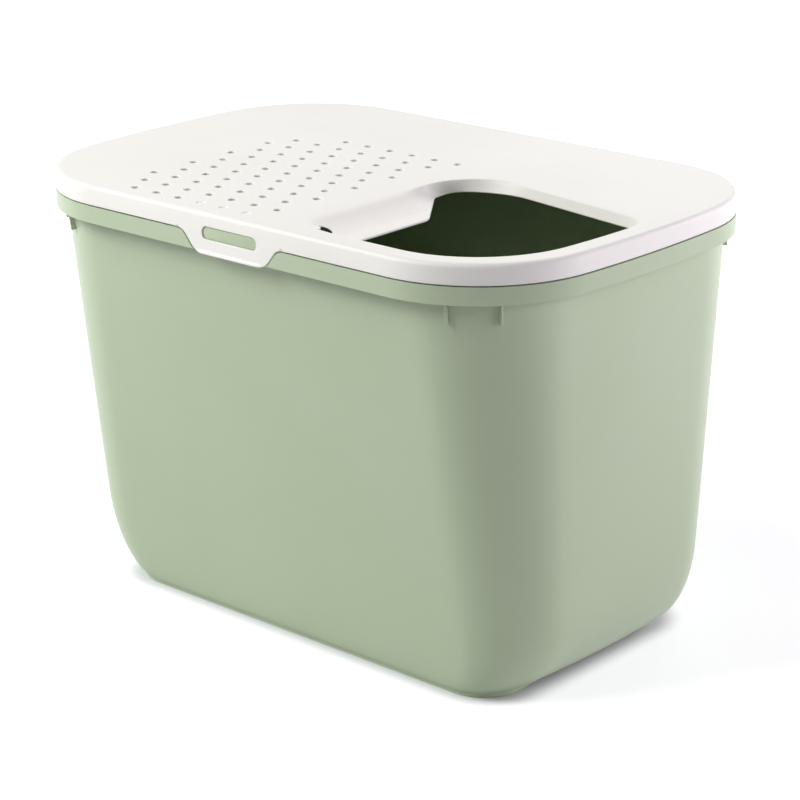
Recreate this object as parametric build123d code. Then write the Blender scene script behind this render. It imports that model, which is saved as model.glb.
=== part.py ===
"""Top entry litter box: a deep tapered tub, a clipped-on lid with an entry opening, and two snap clips.

Millimetres, +Z up. The origin is on the ground under the middle of the box. X runs along the long side,
-Y is the front long side, and the entry opening lies towards +X and -Y.
"""
from build123d import *
from math import cos, hypot, radians, sin, sqrt, tan
import os

# Rim: the outline that the lid's skirt and the tub's band share
RIM_LENGTH = 585.0
RIM_WIDTH = 385.0
RIM_CORNER = 115.0
RIM_BOW = 16.4  # how far the short ends bulge past the corners

# Heights of the lid and the band
LID_TOP = 395.0
SKIRT_HEIGHT = 17.4
SEAM = 1.2  # open line between the skirt and the band
BAND_HEIGHT = 15.0

# Tub walls, from the level of the band down to the ground
OVERHANG_END = 13.5  # of the rim past the walls of the short ends
OVERHANG_SIDE = 12.0
TAPER_END = 12.0  # how far each wall leans in towards the ground
TAPER_SIDE = 47.5
TUB_TOP_CORNER = 93.0
TUB_TOP_BOW = 9.0
TUB_BASE_CORNER = 60.0
TUB_BASE_BOW = 8.0
TUB_WALL = 2.4
TUB_FLOOR = 2.6

# Rounding under of the tub's base: its height, then how far the outline draws in
ROUND_HEIGHT = 78.0
ROUND_END = 50.0
ROUND_SIDE = 6.0
ROUND_CORNER = 24.0
ROUND_STEPS = 6

# Foot rails under the base
FOOT_HEIGHT = 4.0
FOOT_WIDTH = 8.0
FOOT_ROOT = 1.8  # how far the rails run up into the base
FOOT_SIDE_INSET = 0.5
FOOT_END_REACH = 6.5  # past the base's flat, under the rounded short ends
FOOT_CORNER = 40.0
FOOT_GAP = 132.0  # open middle of each short end

# Band, flange, and the upstand that the lid sits on
BAND_WALL = 2.5
FLANGE_THICK = 2.5
UPSTAND_WALL = 2.5
UPSTAND_CLEARANCE = 0.8  # between the upstand and the skirt
SEAT_CLEARANCE = 0.3  # between the upstand and the lid

# Gussets under the band, a pair at each corner
GUSSET_THICK = 2.4
GUSSET_DROP = 18.0  # how far they reach below the band
GUSSET_TOE = 4.0  # how far they stand out from the wall at their foot
GUSSET_END_ANGLE = 41.0  # from the X axis, round the rim's corner
GUSSET_SIDE_ANGLE = 64.5

# Lid
LID_PLATE = 2.6
SKIRT_WALL = 2.4
SKIRT_DRAFT = 0.6
LID_EDGE_ROUND = 3.0

# Perforations: staggered rows of round holes, counted from the front
HOLE_DIAMETER = 7.6
HOLE_PITCH = 27.05
ROW_PITCH = 23.44
HOLE_FROM_END = 129.7  # from the left end of the rim
HOLE_FROM_FRONT = 21.4  # from the front of the rim
HOLE_TO_ENTRY = 32.0  # kept free of hole centres before the entry opening
PLAIN_ROWS = 9
FRONT_ROW_SHIFT = 1  # holes left out at the start of the first and last rows
BACK_ROW_SHIFT = 2
PAD_LENGTH = 150.0  # thick patch of plate behind each clip, where the front row's holes are blind
PAD_REACH = 34.0
PAD_THICK = 2.0
BLIND_HOLE_DEPTH = 0.8

# Entry opening
RAIL_WIDTH = 21.0  # flat strip of lid between the opening and the rim
ENTRY_LENGTH = 225.5
ENTRY_WIDTH = 226.0  # along its left end
ENTRY_SLANT = 9.4  # of its back edge, which comes forward to the right
ENTRY_CORNER = 95.0
ENTRY_NOSE_RADIUS = 27.0
ENTRY_BACK_LEFT_RADIUS = 56.0
ENTRY_BACK_RIGHT_RADIUS = 26.0
COLLAR_WALL = 2.5
COLLAR_DEPTH = 10.0

# Bank and shelf on the left of the opening, and the narrow ledge behind them
BANK_WIDTH = 39.0
BANK_DEPTH = 12.0
SHELF_WIDTH = 17.0
SHELF_THICK = 2.6
LEDGE_WIDTH = 11.0
LEDGE_LENGTH = 109.0  # from the back of the opening to where the shelf's edge turns
LEDGE_BACK_RADIUS = 44.0
SHELF_OUTER_RADIUS = 18.0
SHELF_INNER_RADIUS = 24.0
HANG_HOLE_DIAMETER = 12.5
HANG_HOLE_FROM_LEFT = 24.5  # from the opening's left edge
HANG_HOLE_FROM_FRONT = 20.0

# Snap clips, in the middle of each long side
CLIP_DEPTH = 18.6  # below the skirt
CLIP_TOP_HALF = 55.6
CLIP_BOTTOM_HALF = 40.1
CLIP_FLARE_RADIUS = 10.5
CLIP_CORNER_RADIUS = 11.0
CLIP_FOLD_GAP = 0.05
CLIP_LIP_HEIGHT = 2.6
CLIP_LIP_REACH = 1.6
CLIP_LIP_SLOPE = 35.0
WINDOW_LENGTH = 63.5
WINDOW_HEIGHT = 11.2
WINDOW_RADIUS = 4.8
NOTCH_GAP = 1.2  # between the clip and the notch in the band
LUG_CLEARANCE = 1.0  # of the lug in the window, all round
LATCH_GAP = 0.3  # between the lug's face and the clip's back

# Heights and places that follow from the sizes above
skirt_bottom = LID_TOP - SKIRT_HEIGHT
band_top = skirt_bottom - SEAM
band_bottom = band_top - BAND_HEIGHT
flange_bottom = band_top - FLANGE_THICK
plate_bottom = LID_TOP - LID_PLATE
upstand_inset = SKIRT_WALL + UPSTAND_CLEARANCE
rim_face = RIM_WIDTH / 2
rim_end = RIM_LENGTH / 2
tub_top_end = rim_end - OVERHANG_END
tub_top_side = rim_face - OVERHANG_SIDE
clip_back = rim_face - SKIRT_WALL
lug_face = clip_back - LATCH_GAP
clip_bottom = skirt_bottom - CLIP_DEPTH
hole_first_x = HOLE_FROM_END - rim_end
hole_first_y = HOLE_FROM_FRONT - rim_face
entry_right = rim_end - RAIL_WIDTH
entry_left = entry_right - ENTRY_LENGTH
entry_front = RAIL_WIDTH - rim_face
entry_back = entry_front + ENTRY_WIDTH
collar_bottom = LID_TOP - COLLAR_DEPTH
shelf_top = LID_TOP - BANK_DEPTH
shelf_bottom = shelf_top - SHELF_THICK
shelf_edge = entry_left + BANK_WIDTH + SHELF_WIDTH
shelf_end = entry_back - LEDGE_LENGTH
entry_lean = tan(radians(ENTRY_SLANT))
hang_hole_x = entry_left + HANG_HOLE_FROM_LEFT
hang_hole_y = entry_front + HANG_HOLE_FROM_FRONT


def plan(half_length, half_width, corner, bow):
    """Outline with straight long sides, bowed short ends and round corners."""
    shoulder = half_length - bow
    with BuildSketch() as outline:
        with BuildLine():
            Line((-shoulder, -half_width), (shoulder, -half_width))
            ThreePointArc((shoulder, -half_width), (half_length, 0), (shoulder, half_width))
            Line((shoulder, half_width), (-shoulder, half_width))
            ThreePointArc((-shoulder, half_width), (-half_length, 0), (-shoulder, -half_width))
        make_face()
        fillet(outline.vertices(), corner)
    return outline.sketch


def rim_plan(inset):
    """Rim outline, drawn in by an inset."""
    return plan(rim_end - inset, rim_face - inset, RIM_CORNER - inset, RIM_BOW)


def prism(sketch, bottom, top):
    """Upright solid of an outline between two heights."""
    return extrude(Pos(0, 0, bottom) * sketch, top - bottom, dir=(0, 0, 1))


def rim_ring(inset, wall, bottom, top):
    """Upright wall that follows the rim."""
    return prism(rim_plan(inset), bottom, top) - prism(rim_plan(inset + wall), bottom, top)


def block(low, high):
    """Box between two corners."""
    size = [end - start for start, end in zip(low, high)]
    return Pos(*low) * Box(*size, align=Align.MIN)


def tub_section(height, turn, inset):
    """Tub outline at a height. The turn goes from 0 under the base to 90 on the straight wall."""
    share = height / band_top
    draw_in = 1 - sin(radians(turn))
    half_length = tub_top_end - TAPER_END * (1 - share)
    half_width = tub_top_side - TAPER_SIDE * (1 - share)
    corner = TUB_BASE_CORNER + (TUB_TOP_CORNER - TUB_BASE_CORNER) * share
    bow = TUB_BASE_BOW + (TUB_TOP_BOW - TUB_BASE_BOW) * share
    return plan(
        half_length - ROUND_END * draw_in - inset,
        half_width - ROUND_SIDE * draw_in - inset,
        corner - ROUND_CORNER * draw_in - inset,
        bow,
    )


def tub_body(bottom, top, inset):
    """Tapered body that rounds under at its base."""
    sections = []
    for step in range(ROUND_STEPS + 1):
        turn = 90 * step / ROUND_STEPS
        height = bottom + ROUND_HEIGHT * (1 - cos(radians(turn)))
        sections.append(Pos(0, 0, height) * tub_section(height, turn, inset))
    sections.append(Pos(0, 0, top) * tub_section(top, 90, inset))
    return loft(sections, ruled=True)


def foot_plan(inset):
    """Outline of the foot rails: along the base's edge at the sides, and past it at the short ends."""
    half_length = tub_top_end - TAPER_END - ROUND_END + FOOT_END_REACH
    half_width = tub_top_side - TAPER_SIDE - ROUND_SIDE - FOOT_SIDE_INSET
    return plan(half_length - inset, half_width - inset, FOOT_CORNER - inset, TUB_BASE_BOW)


def foot_rails():
    """Two low rails under the base, open in the middle of the short ends."""
    top = FOOT_HEIGHT + FOOT_ROOT
    rails = prism(foot_plan(0), 0, top) - prism(foot_plan(FOOT_WIDTH), 0, top)
    gap = block((-RIM_LENGTH, -FOOT_GAP / 2, 0), (RIM_LENGTH, FOOT_GAP / 2, top))
    return rails - gap


def rim_corner_centre():
    """Centre of the rim's right back corner, which touches the bowed end and the straight side."""
    bow_radius = (rim_face**2 + RIM_BOW**2) / (2 * RIM_BOW)
    y = rim_face - RIM_CORNER
    return rim_end - bow_radius + sqrt((bow_radius - RIM_CORNER) ** 2 - y**2), y


def gussets():
    """Pairs of upright plates between the wall and the band, set round each of the four corners."""
    foot = band_bottom - GUSSET_DROP
    envelope = prism(rim_plan(BAND_WALL / 2), band_bottom, flange_bottom)
    envelope += loft(
        [
            Pos(0, 0, foot) * tub_section(foot, 90, -GUSSET_TOE),
            Pos(0, 0, band_bottom) * rim_plan(BAND_WALL / 2),
        ],
        ruled=True,
    )
    corner_x, corner_y = rim_corner_centre()
    height = flange_bottom - foot
    plates = Part()
    for side_x in (-1, 1):
        for side_y in (-1, 1):
            for angle in (GUSSET_END_ANGLE, GUSSET_SIDE_ANGLE):
                plate = Box(RIM_CORNER * 1.5, GUSSET_THICK, height, align=(Align.MIN, Align.CENTER, Align.MIN))
                if side_x < 0:
                    plate = Rot(0, 0, 180) * plate
                turn = side_x * side_y * angle
                plates += Pos(side_x * corner_x, side_y * corner_y, foot) * Rot(0, 0, turn) * plate
    return plates & envelope


def tab_outline(top, grow):
    """Clip outline hanging from a level edge, in X and Z. It is grown to cut the notch."""
    slant = (CLIP_TOP_HALF - CLIP_BOTTOM_HALF) / CLIP_DEPTH
    side_grow = grow * hypot(1, slant)
    bottom = clip_bottom - grow
    bottom_half = CLIP_BOTTOM_HALF - slant * grow + side_grow
    top_half = bottom_half + slant * (top - bottom)
    bar_half = top_half + 3 * CLIP_FLARE_RADIUS
    bar_top = top + SKIRT_HEIGHT
    with BuildSketch(Plane.XZ) as outline:
        with BuildLine():
            Polyline(
                (-bottom_half, bottom),
                (bottom_half, bottom),
                (top_half, top),
                (bar_half, top),
                (bar_half, bar_top),
                (-bar_half, bar_top),
                (-bar_half, top),
                (-top_half, top),
                close=True,
            )
        make_face()
        lower = outline.vertices().group_by(Axis.Y)[0]
        fillet(lower, CLIP_CORNER_RADIUS + grow)
        flares = outline.vertices().filter_by_position(Axis.Y, top, top).sort_by(Axis.X)[1:-1]
        fillet(flares, CLIP_FLARE_RADIUS - grow)
    return outline.sketch


def window_cut():
    """Rounded slot through the skirt and the clip."""
    with BuildSketch(Plane.XZ) as slot:
        with Locations((0, skirt_bottom)):
            RectangleRounded(WINDOW_LENGTH, WINDOW_HEIGHT, WINDOW_RADIUS)
    return extrude(Pos(0, -rim_face, 0) * slot.sketch, SKIRT_WALL, both=True)


def make_tub():
    """Tub with its foot rails, gussets, band, flange, upstand and the lugs of the clips."""
    tub = tub_body(FOOT_HEIGHT, band_top, 0) + foot_rails() + gussets()
    tub += prism(rim_plan(0), flange_bottom, band_top)
    tub += rim_ring(0, BAND_WALL, band_bottom, band_top)
    tub -= tub_body(FOOT_HEIGHT + TUB_FLOOR, band_top + SEAM, TUB_WALL)
    tub += rim_ring(upstand_inset, UPSTAND_WALL, flange_bottom, plate_bottom - SEAT_CLEARANCE)
    notch = extrude(Pos(0, -lug_face, 0) * tab_outline(band_top, NOTCH_GAP), rim_face)
    tub = tub - notch - mirror(notch, Plane.XZ)
    lug_half = WINDOW_LENGTH / 2 - LUG_CLEARANCE
    lug_rise = WINDOW_HEIGHT / 2 - LUG_CLEARANCE
    lug = block(
        (-lug_half, -lug_face, skirt_bottom - lug_rise),
        (lug_half, upstand_inset + UPSTAND_WALL - rim_face, skirt_bottom + lug_rise),
    )
    return tub + lug + mirror(lug, Plane.XZ)


def hole_places():
    """Centres of the perforations, and of the front row's holes over the pad."""
    through = []
    blind = []
    for row in range(PLAIN_ROWS + 2):
        shift = (row % 2) / 2
        limit = entry_left - HOLE_TO_ENTRY
        if row == 0:
            shift = FRONT_ROW_SHIFT
        if row == PLAIN_ROWS + 1:
            shift = BACK_ROW_SHIFT
            limit += HOLE_PITCH / 2
        x = hole_first_x + HOLE_PITCH * shift
        y = hole_first_y + ROW_PITCH * row
        while x < limit:
            over_pad = abs(x) < PAD_LENGTH / 2 and y < PAD_REACH - rim_face
            (blind if over_pad else through).append((x, y))
            x += HOLE_PITCH
    return through, blind


def holes(places, bottom):
    """Round holes from the lid's top down to a height."""
    with BuildSketch() as circles:
        with Locations(*places):
            Circle(HOLE_DIAMETER / 2)
    return prism(circles.sketch, bottom, LID_TOP + SEAM)


def back_edge(x):
    """How far back the opening reaches at a place along the lid."""
    return entry_back - (x - entry_left) * entry_lean


def entry_outline():
    """Clear outline of the recess round the entry opening, at the lid's top."""
    inside = plan(entry_right, -entry_front, ENTRY_CORNER, RIM_BOW)
    with BuildSketch() as frame:
        with BuildLine():
            Polyline(
                (entry_left, -rim_face),
                (RIM_LENGTH, -rim_face),
                (RIM_LENGTH, back_edge(RIM_LENGTH)),
                (entry_left, entry_back),
                close=True,
            )
        make_face()
    outline = inside & frame.sketch
    corners = (
        ((entry_left, entry_front), ENTRY_NOSE_RADIUS),
        ((entry_left, entry_back), ENTRY_BACK_LEFT_RADIUS),
        ((entry_right, back_edge(entry_right)), ENTRY_BACK_RIGHT_RADIUS),
    )
    for (x, y), radius in corners:
        corner = outline.vertices().sort_by_distance((x, y, 0))[0]
        outline = fillet(corner, radius)
    return outline


def hole_side():
    """Plan of everything to the right of the shelf's and the ledge's free edge."""
    ledge_edge = entry_left + LEDGE_WIDTH
    turn_end = shelf_end + shelf_edge - ledge_edge
    with BuildSketch() as region:
        with BuildLine():
            Polyline(
                (shelf_edge, -rim_face),
                (RIM_LENGTH, -rim_face),
                (RIM_LENGTH, back_edge(RIM_LENGTH) + COLLAR_WALL),
                (ledge_edge, back_edge(ledge_edge) + COLLAR_WALL),
                (ledge_edge, turn_end),
                (shelf_edge, shelf_end),
                close=True,
            )
        make_face()
        rounds = (
            ((shelf_edge, shelf_end), SHELF_OUTER_RADIUS),
            ((ledge_edge, turn_end), SHELF_INNER_RADIUS),
            ((ledge_edge, back_edge(ledge_edge) + COLLAR_WALL), LEDGE_BACK_RADIUS),
        )
        for (x, y), radius in rounds:
            fillet(region.vertices().sort_by_distance((x, y, 0))[0], radius)
    return region.sketch


def bank(outline):
    """Bank that curves down from the deck to a level shelf, with its free edge."""
    bank_foot = entry_left + BANK_WIDTH
    bend = entry_left + BANK_WIDTH / 2
    with BuildSketch(Plane.XZ) as profile:
        with BuildLine():
            Bezier((entry_left, LID_TOP), (bend, shelf_top), (bank_foot, shelf_top))
            Line((bank_foot, shelf_top), (shelf_edge, shelf_top))
            Line((shelf_edge, shelf_top), (shelf_edge, shelf_bottom))
            Line((shelf_edge, shelf_bottom), (bank_foot, shelf_bottom))
            Bezier((bank_foot, shelf_bottom), (bend, shelf_bottom), (entry_left, plate_bottom))
            Line((entry_left, plate_bottom), (entry_left, LID_TOP))
        make_face()
    sheet = extrude(Pos(0, entry_back, 0) * profile.sketch, entry_back - entry_front)
    sheet &= prism(outline, shelf_bottom, LID_TOP)
    sheet -= prism(hole_side(), shelf_bottom, LID_TOP)
    hang_hole = Pos(hang_hole_x, hang_hole_y, shelf_bottom) * Cylinder(
        HANG_HOLE_DIAMETER / 2, BANK_DEPTH, align=(Align.CENTER, Align.CENTER, Align.MIN)
    )
    return sheet - hang_hole


def make_lid():
    """Lid with its skirt, perforations, entry opening, bank and shelf."""
    body = loft([Pos(0, 0, skirt_bottom) * rim_plan(0), Pos(0, 0, LID_TOP) * rim_plan(SKIRT_DRAFT)], ruled=True)
    lid = fillet(body.edges().group_by(Axis.Z)[-1], LID_EDGE_ROUND)
    lid -= prism(rim_plan(SKIRT_WALL), skirt_bottom, plate_bottom)
    pad_y = rim_face - upstand_inset - UPSTAND_WALL - UPSTAND_CLEARANCE
    pad = block(
        (-PAD_LENGTH / 2, -pad_y, plate_bottom - PAD_THICK),
        (PAD_LENGTH / 2, PAD_REACH - rim_face, plate_bottom),
    )
    outline = entry_outline()
    around = offset(outline, COLLAR_WALL) - outline
    lid += pad + mirror(pad, Plane.XZ)
    lid += prism(around, collar_bottom, plate_bottom)
    end_wall = prism(around, shelf_bottom, collar_bottom)
    lid += end_wall & block(
        (entry_left, -rim_face, shelf_bottom), (shelf_edge, entry_front + COLLAR_WALL, collar_bottom)
    )
    lid -= prism(outline, shelf_bottom - PAD_THICK, LID_TOP + SEAM)
    lid += bank(outline)
    through, blind = hole_places()
    lid = lid - holes(through, plate_bottom - PAD_THICK) - holes(blind, LID_TOP - BLIND_HOLE_DEPTH)
    window = window_cut()
    return lid - window - mirror(window, Plane.XZ)


def make_clip():
    """Front snap clip: a windowed tab under the skirt with a lip along its lower edge."""
    outline = tab_outline(skirt_bottom, 0)
    below_fold = Pos(0, 0, skirt_bottom - CLIP_FOLD_GAP) * Box(
        RIM_LENGTH, RIM_WIDTH * 2, SKIRT_HEIGHT * 2, align=(Align.CENTER, Align.CENTER, Align.MAX)
    )
    clip = extrude(Pos(0, -clip_back, 0) * outline, SKIRT_WALL) & below_fold
    lip_zone = Pos(0, 0, clip_bottom + CLIP_LIP_HEIGHT) * Box(
        RIM_LENGTH, RIM_WIDTH * 2, SKIRT_HEIGHT, align=(Align.CENTER, Align.CENTER, Align.MAX)
    )
    lip_root = extrude(Pos(0, -rim_face, 0) * outline, CLIP_LIP_REACH, taper=CLIP_LIP_SLOPE)
    return clip + (lip_root & lip_zone) - window_cut()


parts = {"tub": make_tub(), "lid": make_lid(), "front_clip": make_clip()}
parts["rear_clip"] = mirror(parts["front_clip"], Plane.XZ)

os.makedirs("parts", exist_ok=True)
for name, shape in parts.items():
    export_step(shape, f"parts/{name}.step")
    print(name, len(shape.solids()), "solid", round(shape.volume / 1000, 1), "cm3")
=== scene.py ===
"""Top entry litter box, dressed: a sage tub, a warm white lid with a sloped entry recess, and two snap clips.

Sizes are in millimetres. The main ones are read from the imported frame, and each mesh is written in metres.
X runs along the long side, -Y is the front long side, and the entry lies towards +X and -Y.
"""

import logging
import math
from dataclasses import dataclass
from enum import Enum

import bmesh
import bpy
import numpy as np
from mathutils import Matrix, Vector
from mathutils.geometry import delaunay_2d_cdt


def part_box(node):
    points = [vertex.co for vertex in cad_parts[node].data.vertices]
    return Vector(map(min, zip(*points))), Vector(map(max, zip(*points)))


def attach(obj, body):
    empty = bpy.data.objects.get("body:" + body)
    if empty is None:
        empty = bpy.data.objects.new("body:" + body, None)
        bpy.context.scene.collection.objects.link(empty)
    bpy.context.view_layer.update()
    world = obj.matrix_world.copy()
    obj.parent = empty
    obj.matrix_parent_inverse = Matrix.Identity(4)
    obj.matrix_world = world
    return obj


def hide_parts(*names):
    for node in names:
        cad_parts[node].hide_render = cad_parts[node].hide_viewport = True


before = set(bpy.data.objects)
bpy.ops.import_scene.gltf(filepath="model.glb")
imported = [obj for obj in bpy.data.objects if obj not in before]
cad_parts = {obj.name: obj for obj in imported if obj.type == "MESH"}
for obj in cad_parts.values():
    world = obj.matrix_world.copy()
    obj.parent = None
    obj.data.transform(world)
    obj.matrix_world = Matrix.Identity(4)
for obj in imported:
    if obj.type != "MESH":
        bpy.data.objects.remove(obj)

LOG = logging.getLogger("litter_box")
METRES = 0.001
SMOOTH_ANGLE = 32.0
ROUND_MIDDLE = 0.3  # how far the middle of a quarter round lies from its corner, over its radius
TINY = 1e-9
WHITE = (1.0, 1.0, 1.0, 1.0)
BOTH_SIDES = ((1, 1, 1), (1, -1, 1))
BOTH_ENDS = ((1, 1, 1), (-1, 1, 1))
FOUR_CORNERS = ((1, 1, 1), (-1, 1, 1), (1, -1, 1), (-1, -1, 1))


# ---------------------------------------------------------------------------------------------------------
# Plans, profiles and meshes
# ---------------------------------------------------------------------------------------------------------


@dataclass(frozen=True)
class Outline:
    """Closed plan with straight long sides, bowed short ends and round corners."""

    half_length: float
    half_width: float
    corner: float
    bow: float

    def inset(self, distance: float) -> "Outline":
        """The same plan drawn in by a distance."""
        return Outline(
            self.half_length - distance, self.half_width - distance, self.corner - distance, self.bow
        )

    def towards(self, other: "Outline", share: float) -> "Outline":
        """The plan that lies between this one and another.

        Args:
            other: the plan at share 1.
            share: 0 gives this plan, 1 the other.

        Returns:
            The mixed plan.
        """
        return Outline(
            self.half_length + (other.half_length - self.half_length) * share,
            self.half_width + (other.half_width - self.half_width) * share,
            self.corner + (other.corner - self.corner) * share,
            self.bow + (other.bow - self.bow) * share,
        )

    def bow_circle(self) -> tuple[float, float]:
        """Centre x and radius of the circle that the right short end lies on."""
        radius = (self.half_width**2 + self.bow**2) / (2 * self.bow)
        return self.half_length - radius, radius

    def corner_centre(self) -> tuple[float, float]:
        """Centre of the round corner at +X, +Y, which touches the bowed end and the straight side."""
        middle, radius = self.bow_circle()
        y = self.half_width - self.corner
        return middle + math.sqrt((radius - self.corner) ** 2 - y**2), y

    def quarter(self, bow: int = 8, corner: int = 24, side: int = 14, start_y: float = 0.0) -> np.ndarray:
        """Points from the right end to the middle of the back side.

        The bow is (m + R cos a, R sin a), the corner is (cx + r cos a, cy + r sin a), and the side is
        level at y = half_width.

        Args:
            bow: steps along the bowed end.
            corner: steps round the corner.
            side: steps along the straight side. With 0 steps the points end where the corner ends.
            start_y: where the points start on the bowed end.

        Returns:
            An array of (points, 2).
        """
        middle, radius = self.bow_circle()
        centre_x, centre_y = self.corner_centre()
        meet = math.atan2(centre_y, centre_x - middle)
        end = np.linspace(math.asin(start_y / radius), meet, bow, endpoint=False)
        turn = np.linspace(meet, math.pi / 2, corner + 1)
        parts = [
            np.stack([middle + radius * np.cos(end), radius * np.sin(end)], axis=1),
            np.stack([centre_x + self.corner * np.cos(turn), centre_y + self.corner * np.sin(turn)], axis=1),
        ]
        if side:
            x = np.linspace(centre_x, 0, side + 1)[1:]
            parts.append(np.stack([x, np.full_like(x, self.half_width)], axis=1))
        return np.concatenate(parts)


def at_height(plan: np.ndarray, height: float | np.ndarray) -> np.ndarray:
    """Puts plan points of (points, 2) at a height, or each at its own."""
    return np.column_stack([plan, np.broadcast_to(height, len(plan))])


def full_ring(quarter: np.ndarray) -> np.ndarray:
    """Reflects a quarter in X and in Y into a closed ring.

    Args:
        quarter: (..., columns, 3) points from y = 0 at the right end to x = 0 at the back side.

    Returns:
        (..., 4 * (columns - 1), 3) points, counterclockwise from above.
    """
    forward = quarter[..., :-1, :]
    backward = quarter[..., :0:-1, :]
    return np.concatenate(
        [forward, backward * (-1, 1, 1), forward * (-1, -1, 1), backward * (1, -1, 1)], axis=-2
    )


def front_half(quarter: np.ndarray) -> np.ndarray:
    """Reflects a quarter into an open strip along the front, from the left end to the right end."""
    return np.concatenate([quarter * (-1, -1, 1), quarter[..., -2::-1, :] * (1, -1, 1)], axis=-2)


def arc(centre: tuple[float, float], radius: float, start: float, end: float, steps: int) -> np.ndarray:
    """Points (x + r cos a, y + r sin a) of an arc, both ends included.

    Args:
        centre: middle of the arc.
        radius: its radius.
        start: first angle in degrees.
        end: last angle in degrees.
        steps: number of steps.

    Returns:
        An array of (steps + 1, 2).
    """
    turn = np.radians(np.linspace(start, end, steps + 1))
    return np.stack([centre[0] + radius * np.cos(turn), centre[1] + radius * np.sin(turn)], axis=1)


def circle(centre: tuple[float, float], radius: float, steps: int) -> np.ndarray:
    """Points of a closed circle, an array of (steps, 2)."""
    return arc(centre, radius, 0, 360, steps)[:-1]


def rounded_rectangle(half_x: float, half_y: float, radius: float, inset: float) -> np.ndarray:
    """A closed loop of four corner arcs, drawn in by an inset.

    The corners keep their centres, (half size - radius) from the middle, and their radius loses the inset.

    Args:
        half_x: half its length, before the inset.
        half_y: half its width, before the inset.
        radius: radius of its corners, before the inset.
        inset: how far it is drawn in.

    Returns:
        An array of (points, 2).
    """
    centre_x, centre_y = half_x - radius, half_y - radius
    signs = ((1, 1), (-1, 1), (-1, -1), (1, -1))
    corners = [
        arc((centre_x * x, centre_y * y), radius - inset, 90 * turn, 90 * (turn + 1), 5)
        for turn, (x, y) in enumerate(signs)
    ]
    return np.concatenate(corners)


def quarter_turns(steps: int) -> np.ndarray:
    """Angles from 0 to 90 degrees, in radians."""
    return np.radians(np.linspace(0, 90, steps + 1))


def smooth_step(share: np.ndarray) -> np.ndarray:
    """The smooth step s^2 (3 - 2 s) of a share s, which is held between 0 and 1."""
    held = np.clip(share, 0, 1)
    return held * held * (3 - 2 * held)


def run(start: np.ndarray, end: np.ndarray, steps: int) -> np.ndarray:
    """Points of a straight run, without its two ends."""
    share = np.linspace(0, 1, steps + 1)[1:-1, None]
    return np.asarray(start) * (1 - share) + np.asarray(end) * share


def resample(path: np.ndarray, count: int) -> np.ndarray:
    """Points spread evenly by length along an open path."""
    length = np.concatenate([[0], np.cumsum(np.linalg.norm(np.diff(path, axis=0), axis=1))])
    places = np.linspace(0, length[-1], count)
    return np.stack([np.interp(places, length, path[:, axis]) for axis in range(path.shape[1])], axis=1)


def outward(loop: np.ndarray) -> np.ndarray:
    """Unit normals that point out of a closed counterclockwise loop: the tangent turned clockwise."""
    tangent = np.roll(loop, -1, axis=0) - np.roll(loop, 1, axis=0)
    normal = np.stack([tangent[:, 1], -tangent[:, 0]], axis=1)
    return normal / np.linalg.norm(normal, axis=1, keepdims=True)


def is_inside(points: np.ndarray, loop: np.ndarray) -> np.ndarray:
    """Which plan points lie inside a closed loop, by counting the edges that a ray to +X crosses.

    Args:
        points: (points, 2) places.
        loop: (corners, 2) of the loop.

    Returns:
        True or False for each point.
    """
    x, y = points[:, :1], points[:, 1:]
    (x_from, y_from), (x_to, y_to) = loop.T, np.roll(loop, -1, axis=0).T
    crosses = (y_from > y) != (y_to > y)
    rise = np.where(y_to == y_from, 1.0, y_to - y_from)
    meets = x_from + (y - y_from) * (x_to - x_from) / rise
    return (crosses & (x < meets)).sum(axis=1) % 2 == 1


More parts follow.
